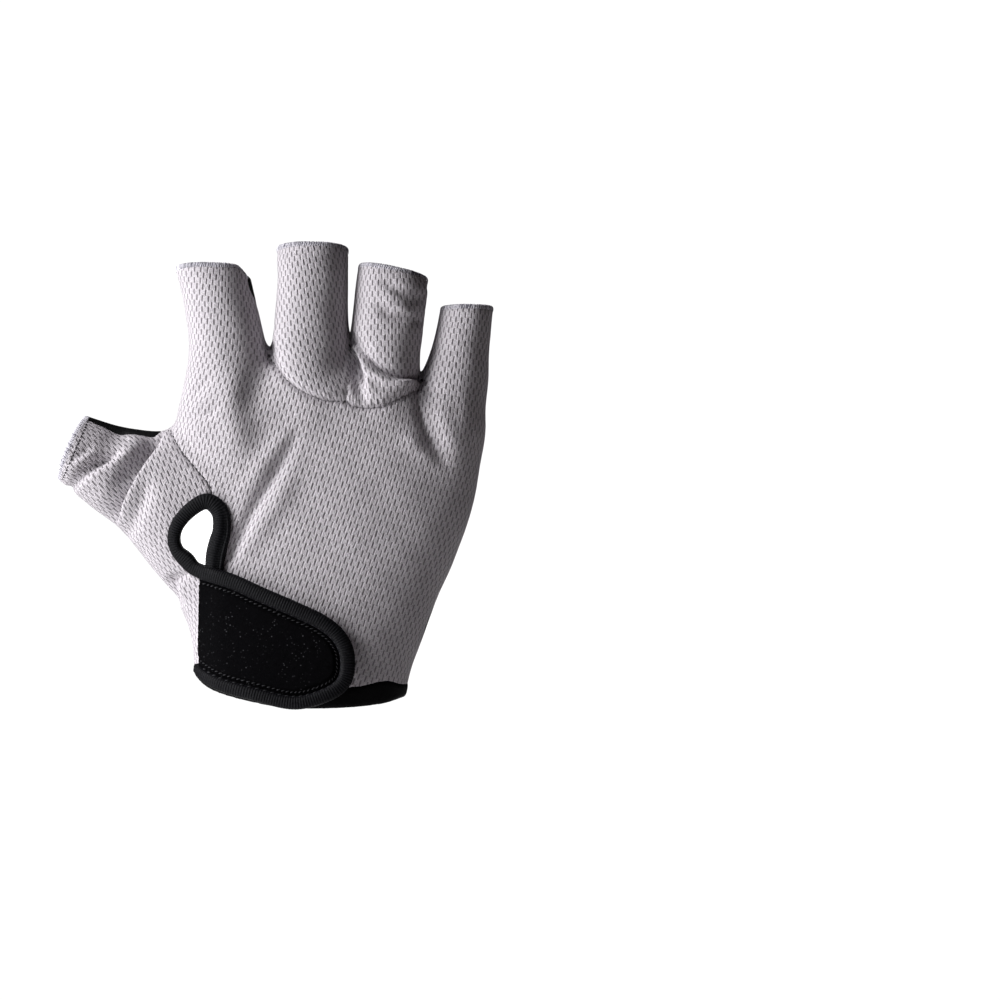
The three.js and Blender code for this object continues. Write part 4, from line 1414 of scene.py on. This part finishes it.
def add_keyhole_binding():
    points, normals, sides, rest = laid(KEYHOLE_PATH, TAPE_SPACING)
    run = np.linspace(0, 1, len(points))
    shown = np.where(run > 0.5, 1, smoothstep(*UNDER_STRAP_Z, points[:, 2]))
    ending = smoothstep(*BINDING_END, run)
    height, lift = (flat + more * shown + last * ending
                    for flat, more, last in (BINDING_HEIGHT, BINDING_LIFT))
    groove = (LEG_GROOVE[0], LEG_GROOVE[1] * shown * (1 - smoothstep(*LEG_END, run)))
    rings = tape_rings(points, normals, sides, rest[:, 0], height, lift, groove)
    leg = slice(int(np.argmax(shown > 0.5)), int(LEG_SEWN * len(points)))
    sewn = stitches(points[leg], normals[leg], sides[leg], *LEG_STITCHES)
    add_tape("keyhole_binding", rings, sewn)


# Heights of the strap's two sides above the skin
STRAP_INNER = 1.25
STRAP_OUTER = 2.9
# The strap is sewn down at its root, to this share of its height, and rises over this length.
ROOT_SHARE = 0.34
ROOT_RISE = (STRAP_ROOT_X - 1, STRAP_ROOT_X + 9)
ROOT_SUNK = 0.3
# Where the skin under the strap lies: its middle and its reach
STRAP_PLACE = ([-9, -15, 19], [34, 30, 34])
# The strap's skin is where the normals' Y is below this.
STRAP_FACING = 0.2
# How far the strap's root runs on past the binding's lower end and short of its upper one
STRAP_ROOT_PAST = {-1: 0.8, 0: -0.4}
STRAP_ROUNDS = 40
STRAP_NORMAL_ROUNDS = 12


def strap_rise(x):
    return ROOT_SHARE + (1 - ROOT_SHARE) * smoothstep(*ROOT_RISE, x)


def strap_layer(shrunk):
    """The smoothed skin under the strap, as far in from the strap's outline as it is shrunk."""
    line = smooth_line(STRAP_PATH)[:, :2]
    root = [[STRAP_ROOT_X, line[end][1] + STRAP_ROOT_PAST[end]] for end in (-1, 0)]
    outline = [*line, *root]
    facing = base_normals[base_triangles].mean(axis=1)[:, 1] < STRAP_FACING
    near = np.abs(base_points[base_triangles].mean(axis=1) - STRAP_PLACE[0]) < STRAP_PLACE[1]
    points, triangles = piece_of(skin_points, base_triangles[facing & near.all(axis=1)])
    points, triangles = piece_of(*trimmed(
        points, triangles, lambda p: polygon_distance(seen_plane(p), outline) + shrunk))
    return relaxed(points, triangles, STRAP_ROUNDS, fixed=on_border(points, triangles)), triangles


def laying_normals(points, triangles):
    """Normals smoothed over the mesh, so that what is laid along them has no creases."""
    return unit(relaxed(normals_of(points, triangles), triangles, STRAP_NORMAL_ROUNDS))


def add_pile(name, points, triangles, inward, depth):
    """A wall of pile on all its sides."""
    wall_points, faces, kinds = walled(points, triangles, inward, depth)
    add_piece(f"{name}_pile", (wall_points, faces, kinds * 0), (PILE,), name)


PRESSED = 0.9
# How far in from its outline the strap's face rises from where the binding presses it
PRESSED_EDGE = (3.4, 4.6)
# Height, longest and shortest wave of the pile's uneven surface
FUZZ = (0.05, 3, 1.2)


def add_strap_tab():
    """The strap's pile face, laid over the skin's smoothed shape."""
    points, triangles = subdivided(*strap_layer(0))
    normals = laying_normals(points, triangles)
    places = seen_plane(points)
    off, _ = line_distance(places, smooth_line(STRAP_PATH)[:, :2])
    pressed = PRESSED * (1 - smoothstep(*PRESSED_EDGE, off))
    rise = strap_rise(places[:, 0])
    outer = (STRAP_OUTER - pressed) * rise + FUZZ[0] * wobble(points, *FUZZ[1:], SEED + 1)
    depth = outer - (STRAP_INNER * rise - ROOT_SUNK * (1 - rise))
    add_pile("strap_tab", points + normals * outer[:, None], triangles, -normals, depth[:, None])


HOOK_LOW = 0.35
HOOK_HIGH = 1.0
HOOK_INSET = 4.5


def add_hook_patch():
    """The hidden patch on the back panel that the strap closes on."""
    points, triangles = strap_layer(HOOK_INSET)
    normals = laying_normals(points, triangles)
    add_pile("hook_patch", points + normals * HOOK_HIGH, triangles, -normals, HOOK_HIGH - HOOK_LOW)


# The strap binding's height at its root and what is added further on, and its middle's lift
STRAP_TAPE_HEIGHT = (2.4, 1.1)
STRAP_TAPE_LIFT = 2.15
# The stitches stay this far from the root.
STITCH_CLEAR = 0.8
# The stitches' rows, beside the binding and on it: offset, lift, length, gap, radius, twist
STRAP_STITCHES = [
    [-3.35, STRAP_OUTER - 0.55, 1.1, 0.5, 0.18, 0.5],
    [-2.0, 3.0, 1.4, 1.0, 0.17, 0.6],
]


def add_strap_binding():
    points, normals, sides, rest = laid(STRAP_PATH, TAPE_SPACING)
    rise = strap_rise(points[:, 0])
    height = STRAP_TAPE_HEIGHT[0] + STRAP_TAPE_HEIGHT[1] * rise
    rings = tape_rings(points, normals, sides, rest[:, 0], height, STRAP_TAPE_LIFT * rise)
    sewn = []
    for offset, lift, *form in STRAP_STITCHES:
        sewn += stitches(points, normals, sides, offset, lift * rise, *form)
    on_strap = [body for body in sewn if body[0][:, 0].min() > STRAP_ROOT_X + STITCH_CLEAR]
    add_tape("strap_binding", rings, on_strap)


# Overlocked hems of the finger stalls

def rim_loops():
    """The rims of the open ends as closed lines of points, by finger."""
    points, triangles = base_points, base_triangles
    for field in (past_ends, past_shoulder):
        points, triangles = trimmed(points, triangles, lambda p: field(p, 0))
    following = dict(border_edges(triangles).tolist())
    loops = []
    while following:
        start, here = following.popitem()
        loop = [start]
        while here != start and here in following:
            loop.append(here)
            here = following.pop(here)
        loops.append(points[loop])
    found = {}
    for name in FINGERS:
        point, _ = end_plane(name, 0)
        found[name] = min(loops, key=lambda loop: np.linalg.norm(loop.mean(axis=0) - point))
    return found


HEM_WIDTHS = {"index": 1.8, "middle": 1.8, "ring": 1.9, "little": 1.7, "thumb": 2.3}
# The share of dark threads in the second row of stitches
HEM_DARK = {"index": 0.55, "middle": 0.55, "ring": 0.55, "little": 0.5, "thumb": 0.12}
# The share of dark threads in the first row of stitches
FIRST_DARK = 0.1
LOOP_SPACING = 0.3
# How many points to each side the rim and its normals are averaged over
RIM_SMOOTHING = 3
RIM_NORMAL_SMOOTHING = 5
OVERLOCK_STEP = 0.5
HEM_AROUND = 14
HEM_POWER = 2.6
HEM_SUNK = 0.3
# How much the hem stands out past the cloth's faces and its edge
HEM_OVER = 0.15
# How far the two rows of threads stand out from the hem, and how their slant and radius vary
THREAD_LIFTS = (0.12, 0.06)
THREAD_SLANT = (0.3, 0.9)
THREAD_RADIUS = (0.12, 0.16)
THREAD_AROUND = 5
# Where the hem narrows to half its width, along the index finger's shoulder
NARROWING = (0.6, 3.0)
NARROWING_DEPTH = 3.0
NARROWING_X = (INDEX_SHOULDER["x"], INDEX_SHOULDER["x"] + 6)


def turned(line):
    """Directions along a closed line."""
    return unit(np.roll(line, -1, axis=0) - np.roll(line, 1, axis=0))


def add_hem(name, rim, generator):
    """A rolled edge with overlock stitches. It narrows along the index finger's shoulder."""
    points = averaged(evenly(rim, LOOP_SPACING, closed=True), RIM_SMOOTHING, closed=True)
    normals = np.array([skin.find_nearest(Vector(p))[1] for p in points])
    normals = unit(averaged(normals, RIM_NORMAL_SMOOTHING, closed=True))
    ways = turned(points)
    inward = unit(np.cross(normals, ways))
    _, direction = end_plane(name, 0)
    if (inward @ -direction).mean() < 0:
        inward = -inward
    shoulder = smoothstep(*NARROWING, past_shoulder(points, NARROWING_DEPTH))[:, None]
    shoulder = shoulder * smoothstep(*NARROWING_X, points[:, :1])
    width = HEM_WIDTHS[name] * (1 - 0.5 * shoulder)
    along, rise = oval(HEM_AROUND, HEM_POWER)

    def section(grow):
        """The offsets of a section's points along the cloth and out of it."""
        a = along * (width / 2 + grow) + width / 2 + HEM_OVER
        b = rise * (CLOTH / 2 + HEM_OVER + grow) - CLOTH / 2 - HEM_SUNK * (1 + shoulder)
        return a[..., None] * inward[:, None] + b[..., None] * normals[:, None]

    # The rolled edge takes the darker edge thread, with painted shade for the gaps between the loops.
    bodies = [(*tube(points[:, None] + section(0), closed=True), 0)]
    count = int(np.linalg.norm(np.diff(points, axis=0), axis=1).sum() / OVERLOCK_STEP)
    circle = np.arange(THREAD_AROUND) * 2 * math.pi / THREAD_AROUND
    cosine, sine = np.cos(circle)[None, :, None], np.sin(circle)[None, :, None]
    for second, lift in enumerate(THREAD_LIFTS):
        sections = section(lift)
        for number in range(count):
            at = int((number + second * count) * len(points) / count) % len(points)
            slant = generator.uniform(*THREAD_SLANT) * (-1 if second else 1)
            path = points[at] + sections[at] + (slant * along / 2)[:, None] * ways[at]
            across = unit(np.cross(turned(path), ways[at]))[:, None]
            radius = generator.uniform(*THREAD_RADIUS)
            rings = path[:, None] + radius * (cosine * ways[at] + sine * across)
            dark = generator.random() < (HEM_DARK[name] if second else FIRST_DARK)
            bodies.append((*tube(rings, closed=True), 2 if dark else 1))
    add_piece(f"{name}_hem_thread", joined(bodies), (SHADED_EDGE_THREAD, LIGHT_THREAD, DARK_THREAD),
              f"{name}_hem")


SEAM_SPACING = 0.15
# Half the length of the thumb hem's stitch line
THUMB_LINE_REACH = 11


def add_seam_threads():
    """The dark stitching of the thumb seam, the knuckle seam and the thumb's hem."""
    point, direction = end_plane("thumb", HEM_WIDTHS["thumb"])
    across = unit(np.cross(direction, [0, 1, 0])) * THUMB_LINE_REACH
    thumb_line = np.array([point - across, point, point + across])[:, [0, 2]]
    # Each row: the line, and its stitches' lift, length, gap and radius
    rows = [
        [THUMB_SEAM[1:], 0.1, 1.6, 0.2, 0.25],
        [thumb_line, 0.1, 1.2, 0.2, 0.24],
        [KNUCKLE_SEAM, 0.0, 1.1, 0.6, 0.14],
        [FORK_SEAM, 0.0, 1.1, 0.6, 0.14],
    ]
    bodies = []
    for line, *form in rows:
        points, normals, sides, _ = laid(line, SEAM_SPACING)
        bodies += [(*body, 0) for body in stitches(points, normals, sides, 0, *form)]
    add_piece("seam_stitches_thread", joined(bodies), (SEAM_THREAD,))


# The order of the calls keeps the random draws the same in each run.
for cloth_name, refinements in (("back_panel", 0), ("middle_back", 1), ("ring_back", 1),
                                ("thumb_base_panel", 0), ("thumb_back", 1)):
    add_cloth(cloth_name, refinements)
add_leather("palm_panel")
add_leather("thumb_palm")
add_cuff()
add_keyhole_binding()
add_strap_tab()
add_hook_patch()
add_strap_binding()
hem_numbers = np.random.default_rng(SEED)
for finger, rim_line in rim_loops().items():
    add_hem(finger, rim_line, hem_numbers)
add_seam_threads()


# Camera, lights and floor

def placed(name, data, location):
    """An object of the studio, at a place in metres."""
    made = bpy.data.objects.new(name, data)
    made.location = location
    bpy.context.scene.collection.objects.link(made)
    return made


def add_camera():
    camera = bpy.data.cameras.new("camera")
    camera.lens = 120
    camera.sensor_width = 36
    holder = placed("camera", camera, Vector(EYE) * MM)
    holder.rotation_euler = (math.radians(90), 0, 0)
    bpy.context.scene.camera = holder


# Each light: direction from the glove, distance, size, power, color
LIGHTS = {
    "upper_key": ((-0.94, -0.34, 0.60), 0.9, 0.4, 10.2, WHITE),
    "lower_key": ((-0.94, -0.34, -0.40), 0.9, 0.4, 4.4, WHITE),
    "front_key": ((-0.82, -0.57, 0.0), 0.9, 0.4, 2.8, WHITE),
    "palm_light": ((0, 1, 0), 1.4, 0.3, 20.0, WHITE),
    "warm_fill": ((0.8, -0.6, -0.2), 0.9, 0.5, 0.16, (1, 0.7, 0.72)),
}
LIT_PLACE = Vector((0, 0, 0.07))


def add_lights():
    for name, (direction, distance, size, power, color) in LIGHTS.items():
        light = bpy.data.lights.new(name, "AREA")
        light.size = size
        light.energy = power
        light.color = color
        way = Vector(direction).normalized()
        holder = placed(name, light, LIT_PLACE + way * distance)
        holder.rotation_euler = (-way).to_track_quat("-Z", "Y").to_euler()


# How bright the world is as light, and as the backdrop that the camera sees
WORLD_LIGHT = 0.015
BACKDROP = 1.05


def add_world():
    world = bpy.data.worlds.new("studio")
    world.use_nodes = True
    nodes, links = world.node_tree.nodes, world.node_tree.links
    background = nodes["Background"]
    path = nodes.new("ShaderNodeLightPath")
    strength = nodes.new("ShaderNodeMapRange")
    strength.inputs["To Min"].default_value = WORLD_LIGHT
    strength.inputs["To Max"].default_value = BACKDROP
    links.new(path.outputs["Is Camera Ray"], strength.inputs["Value"])
    links.new(strength.outputs["Result"], background.inputs["Strength"])
    background.inputs["Color"].default_value = (*WHITE, 1)
    bpy.context.scene.world = world


def add_floor():
    graph = Graph("pale_floor")
    mesh = bpy.data.meshes.new("floor")
    reach, depth = 1.3, -0.45
    corners = [(x * reach, y * reach, depth) for x, y in ((-1, -1), (1, -1), (1, 1), (-1, 1))]
    mesh.from_pydata(corners, [], [(0, 1, 2, 3)])
    mesh.materials.append(graph.finish(Base_Color=(0.8, 0.8, 0.8), Roughness=0.9))
    placed("floor", mesh, (0, 0, 0))


add_camera()
add_lights()
add_world()
add_floor()
bpy.context.scene.view_settings.view_transform = "Standard"
